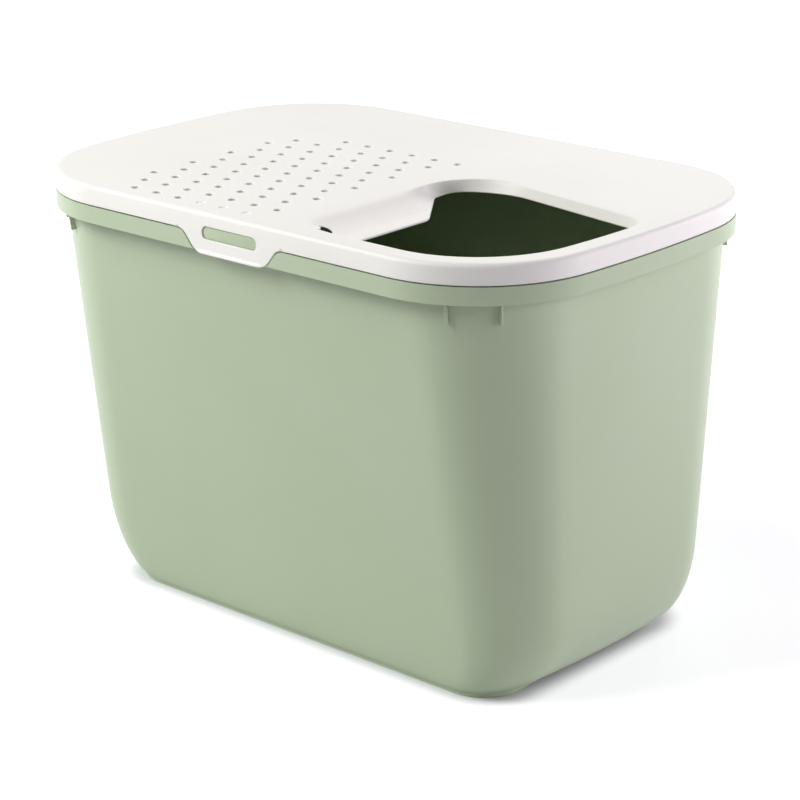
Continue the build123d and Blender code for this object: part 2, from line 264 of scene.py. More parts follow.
class Draft:
    """Gathers surfaces in millimetres and joins them into one closed mesh in metres."""

    MERGE = 0.004
    TOUCH = 1e-6

    def __init__(self) -> None:
        """Starts with no points and no faces."""
        self.points: list[np.ndarray] = []
        self.faces: list[list[int]] = []
        self.count = 0

    def grid(self, surface: np.ndarray, closed: bool = False) -> None:
        """Adds a surface of quads.

        Args:
            surface: (rows, columns, 3) points.
            closed: True joins the last column to the first.
        """
        rows, columns = surface.shape[:2]
        index = np.arange(rows * columns).reshape(rows, columns) + self.count
        if closed:
            index = np.concatenate([index, index[:, :1]], axis=1)
        quads = np.stack([index[:-1, :-1], index[:-1, 1:], index[1:, 1:], index[1:, :-1]], axis=-1)
        self.points.append(surface.reshape(-1, 3))
        self.faces += quads.reshape(-1, 4).tolist()
        self.count += rows * columns

    def cap(self, loop: np.ndarray) -> None:
        """Closes a convex loop of (points, 3) with a fan to its middle."""
        middle = np.broadcast_to(loop.mean(axis=0), loop.shape)
        self.grid(np.stack([loop, middle]), closed=True)

    def solid(self, rings: np.ndarray, flips: tuple[tuple[int, int, int], ...] = ((1, 1, 1),)) -> None:
        """Adds a stack of closed rings with a cap at both ends, once for each reflection.

        Args:
            rings: (rings, columns, 3) points.
            flips: the factors of X, Y and Z of each reflection.
        """
        for flip in flips:
            self.grid(rings * flip, closed=True)
            self.cap(rings[0] * flip)
            self.cap(rings[-1] * flip)

    def fill(self, outer: np.ndarray, holes: list[np.ndarray], height: float) -> None:
        """Fills a level area with triangles, round its holes.

        Args:
            outer: (points, 2) of the outer loop.
            holes: (points, 2) of each inner loop.
            height: height of the area.
        """
        loops = [outer, *holes]
        starts = np.cumsum([0] + [len(loop) for loop in loops])
        edges = np.concatenate(
            [
                np.stack([np.arange(len(loop)), np.roll(np.arange(len(loop)), -1)], axis=1) + start
                for loop, start in zip(loops, starts)
            ]
        )
        found = delaunay_2d_cdt(np.concatenate(loops).tolist(), edges.tolist(), [], 0, self.TOUCH)
        plan = np.array([tuple(point) for point in found[0]])
        triangles = np.array(found[2])
        middles = plan[triangles].mean(axis=1)
        keep = is_inside(middles, outer)
        for hole in holes:
            keep &= ~is_inside(middles, hole)
        self.points.append(at_height(plan, height))
        self.faces += (triangles[keep] + self.count).tolist()
        self.count += len(plan)

    def mesh(self, name: str, smooth_angle: float = SMOOTH_ANGLE) -> bpy.types.Object:
        """Makes the object: merges shared points, points the faces outwards and smooths gentle edges.

        Args:
            name: name of the object.
            smooth_angle: edges that turn more than this, in degrees, stay crisp.

        Returns:
            The object, at the origin.
        """
        mesh = bpy.data.meshes.new(name)
        mesh.from_pydata((np.concatenate(self.points) * METRES).tolist(), [], self.faces)
        work = bmesh.new()
        work.from_mesh(mesh)
        bmesh.ops.remove_doubles(work, verts=work.verts, dist=self.MERGE * METRES)
        bmesh.ops.dissolve_degenerate(work, edges=work.edges, dist=self.MERGE * METRES)
        loose = [vert for vert in work.verts if not vert.link_faces]
        bmesh.ops.delete(work, geom=loose, context="VERTS")
        bmesh.ops.recalc_face_normals(work, faces=work.faces)
        open_edges = sum(1 for edge in work.edges if len(edge.link_faces) != 2)
        work.to_mesh(mesh)
        work.free()
        mesh.shade_smooth()
        mesh.set_sharp_from_angle(angle=math.radians(smooth_angle))
        piece = bpy.data.objects.new(name, mesh)
        bpy.context.scene.collection.objects.link(piece)
        LOG.info("%s: %d faces, %d open edges", name, len(mesh.polygons), open_edges)
        return piece


def soften(piece: bpy.types.Object, width: float, angle: float = 40.0) -> None:
    """Rounds the crisp edges of a piece with a Bevel modifier.

    Args:
        piece: the object.
        width: width of the round, in millimetres.
        angle: edges that turn more than this, in degrees, are rounded.
    """
    bevel = piece.modifiers.new("soft_edges", "BEVEL")
    bevel.width = width * METRES
    bevel.segments = 3
    bevel.limit_method = "ANGLE"
    bevel.angle_limit = math.radians(angle)
    bevel.use_clamp_overlap = True


def settle(piece: bpy.types.Object, body: str, node: str, material: bpy.types.Material) -> None:
    """Gives a piece its material and its place in the frame.

    Args:
        piece: the object.
        body: the body that it moves with.
        node: the frame's node that it stands for.
        material: its finish.
    """
    piece.data.materials.append(material)
    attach(piece, body)
    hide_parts(node)


# ---------------------------------------------------------------------------------------------------------
# Finishes
# ---------------------------------------------------------------------------------------------------------


def linear(colour: tuple[int, int, int]) -> tuple[float, float, float, float]:
    """Turns a screen colour of 0 to 255 into the linear colour that a shader takes."""
    share = np.array(colour) / 255
    value = np.where(share <= 0.04045, share / 12.92, ((share + 0.055) / 1.055) ** 2.4)
    return (*value.tolist(), 1.0)


class Wire:
    """A shader value. Sums and products of wires and numbers add Math nodes."""

    def __init__(self, shader: "Shader", socket: bpy.types.NodeSocket) -> None:
        """Wraps a socket of a shader's node."""
        self.shader = shader
        self.socket = socket

    def __add__(self, other: "Wire | float") -> "Wire":
        """Sum."""
        return self.shader.math("ADD", self, other)

    def __sub__(self, other: "Wire | float") -> "Wire":
        """Difference."""
        return self.shader.math("SUBTRACT", self, other)

    def __rsub__(self, other: "Wire | float") -> "Wire":
        """Difference from a number."""
        return self.shader.math("SUBTRACT", other, self)

    def __mul__(self, other: "Wire | float") -> "Wire":
        """Product."""
        return self.shader.math("MULTIPLY", self, other)

    __radd__ = __add__
    __rmul__ = __mul__


class Shader:
    """The nodes of one material, or of the world."""

    def __init__(self, owner: bpy.types.ID, output: str = "ShaderNodeOutputMaterial") -> None:
        """Empties the owner's nodes and adds its output.

        Args:
            owner: the material or the world.
            output: the type of its output node.
        """
        self.owner = owner
        owner.use_nodes = True
        self.tree = owner.node_tree
        self.tree.nodes.clear()
        self.output = self.tree.nodes.new(output)

    def node(self, kind: str, settings: dict, inputs: dict) -> bpy.types.Node:
        """Adds a node.

        Args:
            kind: the node's type.
            settings: properties that are set first. "stops" are a ramp's (place, grey) pairs.
            inputs: a value or a Wire for each named or numbered socket.

        Returns:
            The node.
        """
        made = self.tree.nodes.new(kind)
        for name, value in settings.items():
            if name == "stops":
                for element, (place, grey) in zip(made.color_ramp.elements, value):
                    element.position = place
                    element.color = (grey, grey, grey, 1)
            else:
                setattr(made, name, value)
        for name, value in inputs.items():
            if isinstance(value, Wire):
                self.tree.links.new(value.socket, made.inputs[name])
            else:
                made.inputs[name].default_value = value
        return made

    def wire(self, made: bpy.types.Node, output: str | int = 0) -> Wire:
        """Wraps an output of a node."""
        return Wire(self, made.outputs[output])

    def math(self, operation: str, *values: "Wire | float") -> Wire:
        """Adds a Math node on values or wires."""
        return self.wire(self.node("ShaderNodeMath", {"operation": operation}, dict(enumerate(values))))

    def vector(self, operation: str, *values: "Wire | tuple", output: int = 0) -> Wire:
        """Adds a Vector Math node on vectors. Output 1 is its number."""
        made = self.node("ShaderNodeVectorMath", {"operation": operation}, dict(enumerate(values)))
        return self.wire(made, output)

    def place(self) -> Wire:
        """Object coordinates, in metres."""
        return self.wire(self.node("ShaderNodeTexCoord", {}, {}), "Object")

    def noise(self, place: Wire, scale: float, detail: float = 3.0, roughness: float = 0.5) -> Wire:
        """Adds noise of 0 to 1 that has a number of lumps to the metre."""
        inputs = {"Vector": place, "Scale": scale, "Detail": detail, "Roughness": roughness}
        return self.wire(self.node("ShaderNodeTexNoise", {}, inputs), 0)

    def blend(self, share: Wire, low: tuple, high: "tuple | Wire") -> Wire:
        """Mixes two colours by a share."""
        mixed = self.node("ShaderNodeMix", {"data_type": "RGBA"}, {"Factor": share, 6: low, 7: high})
        return self.wire(mixed, 2)

    def ramp(self, value: Wire, span: tuple[float, float]) -> Wire:
        """Stretches the part of a value between two limits over 0 to 1."""
        stops = list(zip(span, (0, 1)))
        return self.wire(self.node("ShaderNodeValToRGB", {"stops": stops}, {"Fac": value}))

    def ease(self, value: Wire, low: float, high: float) -> Wire:
        """Turns a value into a smooth step from 0 at low to 1 at high."""
        limits = {"Value": value, "From Min": low, "From Max": high}
        return self.wire(self.node("ShaderNodeMapRange", {"interpolation_type": "SMOOTHSTEP"}, limits))

    def backdrop_rays(self) -> Wire:
        """Tells the rays that show the surroundings: straight, through something clear or in a gloss.

        Returns:
            1 for those rays, and 0 for the ones that carry light.
        """
        path = self.node("ShaderNodeLightPath", {}, {})
        kinds = ("Is Camera Ray", "Is Transmission Ray", "Is Glossy Ray")
        straight, clear, gloss = (self.wire(path, kind) for kind in kinds)
        return self.math("MAXIMUM", self.math("MAXIMUM", straight, clear), gloss)

    def finish(self, surface: bpy.types.Node) -> bpy.types.ID:
        """Joins a shader to the output.

        Args:
            surface: the shader node.

        Returns:
            The finished material or world.
        """
        self.tree.links.new(surface.outputs[0], self.output.inputs["Surface"])
        return self.owner


@dataclass(frozen=True)
class SatinPlastic:
    """Injection moulded plastic: even colour with faint clouding, a fine spark grain and soft gloss."""

    name: str
    colour: tuple[int, int, int]
    cloud: tuple[int, int, int]
    roughness: float
    grain_depth: float
    specular: float = 0.36
    ior: float = 1.49
    grain_per_metre: float = 1500.0
    grain_gloss: float = 0.06
    wave_per_metre: float = 26.0
    wave_height: float = 2.2
    cloud_per_metre: float = 7.0
    cloud_span: tuple[float, float] = (0.35, 0.75)
    rub_per_metre: float = 60.0
    rub_span: tuple[float, float] = (0.5, 0.85)
    rub_gloss: float = 0.05

    def material(self) -> bpy.types.Material:
        """Builds the finish.

        The colour is mixed towards the cloud colour by slow noise. The bump is fine grain plus slow waviness
        of the moulding, and the roughness follows the grain and a few rubbed patches.

        Returns:
            The material.
        """
        shader = Shader(bpy.data.materials.new(self.name))
        place = shader.place()
        cloud = shader.ramp(shader.noise(place, self.cloud_per_metre, detail=4.0), self.cloud_span)
        grain = shader.noise(place, self.grain_per_metre, detail=2.0, roughness=0.6)
        waves = shader.noise(place, self.wave_per_metre, detail=1.0)
        rub = shader.ramp(shader.noise(place, self.rub_per_metre, detail=5.0, roughness=0.7), self.rub_span)
        height = grain + waves * self.wave_height
        depth = self.grain_depth * METRES
        bump = shader.node("ShaderNodeBump", {}, {"Strength": 1.0, "Distance": depth, "Height": height})
        surface = shader.node(
            "ShaderNodeBsdfPrincipled",
            {},
            {
                "Base Color": shader.blend(cloud, linear(self.colour), linear(self.cloud)),
                "Roughness": self.roughness + grain * self.grain_gloss + rub * self.rub_gloss,
                "IOR": self.ior,
                "Specular IOR Level": self.specular,
                "Normal": shader.wire(bump),
            },
        )
        return shader.finish(surface)


class Finish(Enum):
    """The two plastics of the box."""

    SAGE = SatinPlastic("sage_plastic", (184, 198, 168), (180, 195, 164), 0.34, 0.012)
    WARM_WHITE = SatinPlastic("warm_white_plastic", (244, 242, 236), (240, 238, 231), 0.46, 0.010)


# ---------------------------------------------------------------------------------------------------------
# Sizes that the pieces share
# ---------------------------------------------------------------------------------------------------------


@dataclass(frozen=True)
class Rim:
    """The rim's plan and heights, which the lid, the band and the clips share."""

    plan: Outline
    lid_top: float
    skirt_bottom: float
    clip_bottom: float
    seam: float = 1.2
    band_height: float = 15.0
    skirt_wall: float = 2.4
    skirt_draft: float = 0.6
    plate: float = 2.6
    corner: float = 115.0
    bow: float = 16.4

    @classmethod
    def from_frame(cls) -> "Rim":
        """Reads the rim's reach and heights from the frame's lid and front clip.

        Returns:
            The rim.
        """
        lid_low, lid_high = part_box("lid")
        clip_low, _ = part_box("front_clip")
        return cls(
            plan=Outline(lid_high.x / METRES, lid_high.y / METRES, cls.corner, cls.bow),
            lid_top=lid_high.z / METRES,
            skirt_bottom=lid_low.z / METRES,
            clip_bottom=clip_low.z / METRES,
        )

    @property
    def band_top(self) -> float:
        """Top of the band, under the open seam."""
        return self.skirt_bottom - self.seam

    @property
    def band_bottom(self) -> float:
        """Lower edge of the band."""
        return self.band_top - self.band_height

    @property
    def plate_bottom(self) -> float:
        """Underside of the lid's plate."""
        return self.lid_top - self.plate

    @property
    def face(self) -> float:
        """How far the rim's long sides stand from the middle."""
        return self.plan.half_width


@dataclass(frozen=True)
class ClipShape:
    """The outline of a snap clip and its window, in X and Z, as the clip, the notch and the skirt use it."""

    rim: Rim
    top_half: float = 55.6
    bottom_half: float = 40.1
    flare_radius: float = 12.0
    corner_radius: float = 18.0
    window_length: float = 63.5
    window_height: float = 11.2
    window_radius: float = 4.8

    def edge(self, grow: float, top: float, steps: int = 10) -> np.ndarray:
        """Right half of the clip's edge, from the flare's tip down to the middle of the lower edge.

        The slanted side leaves the flare and enters the corner as a tangent. Each arc's tangent length is
        r tan(t / 2), where t is the turn between the slant and the level edge.

        Args:
            grow: how far the outline is grown, as it is for the notch.
            top: the level edge that it hangs from.
            steps: steps round each arc.

        Returns:
            An array of (points, 2) in X and Z.
        """
        depth = self.rim.skirt_bottom - self.rim.clip_bottom
        slant = (self.top_half - self.bottom_half) / depth
        tilt = math.degrees(math.atan2(1, slant))
        bottom = self.rim.clip_bottom - grow
        bottom_half = self.bottom_half - slant * grow + grow * math.hypot(1, slant)
        top_half = bottom_half + slant * (top - bottom)
        flare = self.flare_radius - grow
        corner = self.corner_radius + grow
        flare_reach = flare * math.tan(math.radians(tilt / 2))
        corner_reach = corner / math.tan(math.radians((180 - tilt) / 2))
        flare_arc = arc((top_half + flare_reach, top - flare), flare, 90, 90 + tilt, steps)
        corner_arc = arc((bottom_half - corner_reach, bottom + corner), corner, tilt - 90, -90, steps)
        return np.concatenate([flare_arc, corner_arc, [(0.0, bottom)]])

    def window_lower(self, top: float, steps: int) -> np.ndarray:
        """Right half of the window's lower edge, from a level edge down to the middle.

        Args:
            top: height of the level edge.
            steps: steps round the window's corner.

        Returns:
            An array of (points, 2) in X and Z.
        """
        half = self.window_length / 2
        low = self.rim.skirt_bottom - self.window_height / 2
        bend = arc((half - self.window_radius, low + self.window_radius), self.window_radius, 0, -90, steps)
        return np.concatenate([[(half, top)], bend, [(0.0, low)]])


# ---------------------------------------------------------------------------------------------------------
# Tub
# ---------------------------------------------------------------------------------------------------------


@dataclass(frozen=True)
class Tub:
    """Deep tapered tub with foot rails, a band and upstand round its rim, corner gussets and clip lugs."""

    rim: Rim
    clip: ClipShape
    finish: bpy.types.Material
    overhang_end: float = 13.5
    overhang_side: float = 12.0
    taper_end: float = 12.0
    taper_side: float = 47.5
    top_corner: float = 93.0
    top_bow: float = 9.0
    base_corner: float = 60.0
    base_bow: float = 8.0
    wall: float = 2.4
    floor: float = 2.6
    round_height: float = 78.0
    round_end: float = 50.0
    round_side: float = 6.0
    round_corner: float = 24.0
    round_steps: int = 26
    straight_steps: int = 11
    flat_shares: tuple[float, ...] = (0.0, 0.5, 0.97)
    inner_round: float = 12.0
    foot_height: float = 4.0
    foot_width: float = 8.0
    foot_round: float = 0.8
    foot_steps: int = 4
    foot_root: float = 2.6
    foot_side_inset: float = 0.5
    foot_end_reach: float = 9.5
    foot_corner: float = 40.0
    foot_gap: float = 132.0
    foot_ease_length: float = 26.0
    foot_ease_rise: float = 2.2
    band_wall: float = 2.5
    band_overlap: float = 0.4
    band_round: float = 0.7
    band_steps: int = 14
    notch_steps: int = 12
    upstand_wall: float = 2.5
    upstand_round: float = 0.7
    upstand_inset: float = 3.2
    seat_clearance: float = 0.3
    notch_gap: float = 1.2
    lug_clearance: float = 0.35
    lug_stand: float = -1.0
    lug_round: float = 0.9
    lug_rows: int = 4
    latch_gap: float = 0.3
    gusset_thick: float = 2.4
    gusset_drop: float = 18.0
    gusset_toe: float = 4.0
    gusset_inset: float = 6.0
    gusset_head: float = 1.0
    gusset_tip: float = 0.4
    gusset_tip_steps: int = 6
    gusset_rows: int = 9
    gusset_angles: tuple[float, float] = (41.0, 64.5)

    def section(self, height: float, turn: float) -> Outline:
        """Outer plan of the tub at a height.

        The walls lean in evenly from the band to the ground. Under the turn of 90 degrees the plan also draws
        in by 1 - sin(turn), so the base rounds under.

        Args:
            height: height over the ground.
            turn: 0 under the base, 90 on the straight wall.

        Returns:
            The plan.
        """
        lean = 1 - height / self.rim.band_top
        drawn = 1 - math.sin(math.radians(turn))
        return Outline(
            self.rim.plan.half_length - self.overhang_end - self.taper_end * lean - self.round_end * drawn,
            self.rim.plan.half_width - self.overhang_side - self.taper_side * lean - self.round_side * drawn,
            self.top_corner + (self.base_corner - self.top_corner) * lean - self.round_corner * drawn,
            self.top_bow + (self.base_bow - self.top_bow) * lean,
        )

    def side_rows(self, bottom: float, inset: float, fillet: float = 0.0) -> list[np.ndarray]:
        """Rings from the base up to the band, round the base's curve and up the wall.

        Args:
            bottom: height of the base's flat.
            inset: how far the rings lie inside the outer plan.
            fillet: radius between the flat and the wall, on top of the base's own curve.

        Returns:
            Quarter rings of (columns, 3), from the base up.
        """

        def ring(height: float, turn: float) -> np.ndarray:
            """One ring at a height, drawn in by the fillet near the flat."""
            low = min(max(1 - (height - bottom) / fillet, 0.0), 1.0) if fillet else 0.0
            drawn = inset + fillet * (1 - math.sqrt(1 - low * low))
            return at_height(self.section(height, turn).inset(drawn).quarter(), height)

        turns = np.linspace(0, 90, self.round_steps + 1)
        heights = bottom + self.round_height * (1 - np.cos(np.radians(turns)))
        straight = np.linspace(bottom + self.round_height, self.rim.band_top, self.straight_steps + 1)[1:]
        return [ring(*place) for place in zip(heights, turns)] + [ring(height, 90) for height in straight]

    def shell(self) -> bpy.types.Object:
        """The tub's wall and floor: an outer and an inner surface that meet at the top.

        Returns:
            The object.
        """
        outer = self.side_rows(self.foot_height, 0.0)
        inner = self.side_rows(self.foot_height + self.floor, self.wall, self.inner_round)
        shrink = np.array([1.0, 1.0, 0.0])
        level = np.array([0.0, 0.0, 1.0])
        under = [outer[0] * (shrink * share + level) for share in self.flat_shares]
        inside = [inner[0] * (shrink * share + level) for share in self.flat_shares[::-1]]
        draft = Draft()
        draft.grid(full_ring(np.stack(under + outer + inner[::-1] + inside)), closed=True)
        return draft.mesh("tub_shell")

    def rail(self) -> bpy.types.Object:
        """Two foot rails under the base, each one a rounded bar that follows the base's edge.

        Towards its ends each rail rises a little off the ground, over a smooth step.

        Returns:
            The object.
        """
        rim = self.rim.plan
        base = Outline(
            rim.half_length - self.overhang_end - self.taper_end - self.round_end + self.foot_end_reach,
            rim.half_width - self.overhang_side - self.taper_side - self.round_side - self.foot_side_inset,
            self.foot_corner,
            self.base_bow,
        )
        top = self.foot_height + self.foot_root
        edge = self.foot_round
        foot = np.concatenate(
            [
                [(0.0, top)],
                arc((edge, edge), edge, 180, 270, self.foot_steps),
                arc((self.foot_width - edge, edge), edge, 270, 360, self.foot_steps),
                [(self.foot_width, top)],
            ]
        )
        draft = Draft()
        rows = []
        for inset, height in foot:
            plan = base.inset(inset).quarter(start_y=self.foot_gap / 2)
            eased = smooth_step(1 - (plan[:, 1] - self.foot_gap / 2) / self.foot_ease_length)
            rows.append(at_height(plan, height + (1 - height / top) * self.foot_ease_rise * eased))
        strip = front_half(np.stack(rows + rows[:1]))
        for flip in BOTH_SIDES:
            draft.grid(strip * flip)
            draft.cap(strip[:-1, 0] * flip)
            draft.cap(strip[:-1, -1] * flip)
        return draft.mesh("tub_foot_rails")

    def upstand(self) -> bpy.types.Object:
        """Flange from the wall out to the clips' backs, and the upstand that the lid sits on.

        Its profile is a closed loop of plans and heights, carried round the rim.

        Returns:
            The object.
        """
        rim, plan = self.rim, self.rim.plan
        top, under = rim.band_top, rim.band_top - self.band_wall
        mid_wall = self.section(top, 90).inset(self.wall / 2)
        lip = rim.plate_bottom - self.seat_clearance
        far = self.upstand_inset + self.upstand_wall
        edge = self.upstand_round
        cut = edge * ROUND_MIDDLE
        face = plan.inset(rim.skirt_wall + self.latch_gap)
        halfway = plan.inset(far).towards(mid_wall, 0.5)
        profile = [
            (face, under),
            (face, top),
            (plan.inset(self.upstand_inset), top),
            (plan.inset(self.upstand_inset), lip - edge),
            (plan.inset(self.upstand_inset + cut), lip - cut),
            (plan.inset(self.upstand_inset + edge), lip),
            (plan.inset(far - edge), lip),
            (plan.inset(far - cut), lip - cut),
            (plan.inset(far), lip - edge),
            (plan.inset(far), top),
            (halfway, top),
            (mid_wall, top),
            (mid_wall, under),
            (halfway, under),
            (face, under),
        ]
        rows = [at_height(shape.quarter(), height) for shape, height in profile]
        draft = Draft()
        draft.grid(full_ring(np.stack(rows)), closed=True)
        return draft.mesh("tub_upstand")

    def band(self) -> bpy.types.Object:
        """Band round the rim, in two halves that stop at the notches of the clips.

        Each half is a flat bar of wall that runs from notch to notch. Its ends follow the notch, so the
        last stretch of each row reaches to x = notch half width at that height.

        Returns:
            The object.
        """
        rim = self.rim
        notch = self.clip.edge(self.notch_gap, rim.band_top, self.notch_steps)
        deep_enough = notch[notch[:, 1] >= rim.band_bottom]
        end_height = np.concatenate([deep_enough[:, 1], [rim.band_bottom]])
        crossing = np.interp(-rim.band_bottom, -notch[:, 1], notch[:, 0])
        end_x = np.concatenate([deep_enough[:, 0], [crossing]])
        share = np.linspace(0, 1, self.band_steps + 1)[1:]

        def bar(inset: float) -> np.ndarray:
            """Rows of one face of the bar, from the top edge down.

            Args:
                inset: how far the face lies inside the rim's plan.

            Returns:
                (rows, columns, 3) points.
            """
            plan = rim.plan.inset(inset)
            bend = plan.quarter(side=0)
            start = bend[-1, 0]
            flat_y = np.full(len(share), plan.half_width)
            rows = []
            for x, height in zip(end_x, end_height):
                side = np.stack([start + (x - start) * share, flat_y], axis=1)
                rows.append(at_height(np.concatenate([bend, side]), height))
            return np.stack(rows)

        outer, inner = bar(0.0), bar(rim.skirt_wall + self.latch_gap + self.band_overlap)
        loop = np.concatenate([outer, inner[::-1], outer[:1]])
        half = np.concatenate([loop[:, ::-1] * (1, -1, 1), loop[:, 1:]], axis=1)
        draft = Draft()
        for flip in BOTH_ENDS:
            draft.grid(half * flip)
            for column in (0, -1):
                ends = np.stack([half[: len(outer), column], half[len(outer) : -1, column][::-1]])
                draft.grid(ends * flip)
        piece = draft.mesh("tub_band", smooth_angle=30)
        soften(piece, self.band_round)
        return piece

    def gussets(self) -> bpy.types.Object:
        """Eight upright plates under the band, two round each corner, with round outer edges.

        Along a plate's direction d from a point o, a round corner of centre c and radius r is met at
        s = -(o - c).d + sqrt(((o - c).d)^2 - |o - c|^2 + r^2).

        Returns:
            The object.
        """
        rim = self.rim
        foot = rim.band_bottom - self.gusset_drop
        head = rim.band_top - self.gusset_head
        heights = np.concatenate([np.linspace(foot, rim.band_bottom, self.gusset_rows), [head]])
        start = np.array(rim.plan.corner_centre())
        half = self.gusset_thick / 2

        def reach(direction: np.ndarray, plan: Outline) -> float:
            """How far the ray from the rim's corner centre goes to the plan's corner."""
            away = start - np.array(plan.corner_centre())
            along = away @ direction
            return -along + math.sqrt(along**2 - away @ away + plan.corner**2)

        draft = Draft()
        for angle in np.radians(self.gusset_angles):
            direction = np.array([math.cos(angle), math.sin(angle)])
            across = np.array([-direction[1], direction[0]])
            walls = [self.section(height, 90).inset(self.wall / 2) for height in heights]
            wall_in = np.array([reach(direction, wall) for wall in walls])
            low = reach(direction, self.section(foot, 90)) + self.gusset_toe
            high = reach(direction, rim.plan.inset(self.gusset_inset))
            rise = np.clip((heights - foot) / self.gusset_drop, 0, 1)
            wall_out = low + (high - low) * rise + half * self.gusset_tip
            tip = arc((0.0, 0.0), half, -90, 90, self.gusset_tip_steps)
            along = np.column_stack(
                [wall_in[:, None], wall_out[:, None] - half + tip[None, :, 0], wall_in[:, None]]
            )
            along = np.maximum(along, wall_in[:, None])
            sideways = np.concatenate([[-half], tip[:, 1], [half]])
            plan = start + along[..., None] * direction + sideways[None, :, None] * across
            level = np.broadcast_to(heights[:, None, None], (*along.shape, 1))
            draft.solid(np.concatenate([plan, level], axis=2), FOUR_CORNERS)
        return draft.mesh("tub_gussets")

    def lugs(self) -> bpy.types.Object:
        """Lugs that stand in the clips' windows, as rounded pads on the upstand.

        Each is a stack of rounded rectangles in X and Z that draw in over the front edge.

        Returns:
            The object.
        """
        half_x = self.clip.window_length / 2 - self.lug_clearance
        half_z = self.clip.window_height / 2 - self.lug_clearance
        radius = self.clip.window_radius - self.lug_clearance
        front = self.rim.face + self.lug_stand
        back = self.rim.face - self.upstand_inset - self.upstand_wall / 2
        edge = self.lug_round

        def ring(inset: float, depth: float) -> np.ndarray:
            """One rounded rectangle at a depth."""
            flat = rounded_rectangle(half_x, half_z, radius, inset)
            level = np.full(len(flat), -depth)
            return np.column_stack([flat[:, 0], level, self.rim.skirt_bottom + flat[:, 1]])

        rings = [ring(0, back)] + [
            ring(edge * (1 - math.cos(turn)), front - edge + edge * math.sin(turn))
            for turn in quarter_turns(self.lug_rows)
        ]
        draft = Draft()
        draft.solid(np.stack(rings), BOTH_SIDES)
        return draft.mesh("tub_clip_lugs")

    def build(self) -> None:
        """Makes the tub's pieces and seats them on the tub."""
        for piece in (self.shell(), self.rail(), self.upstand(), self.band(), self.gussets(), self.lugs()):
            settle(piece, "tub", "tub", self.finish)
            LOG.info("tub: %s", piece.name)


# ---------------------------------------------------------------------------------------------------------
# Lid
# ---------------------------------------------------------------------------------------------------------


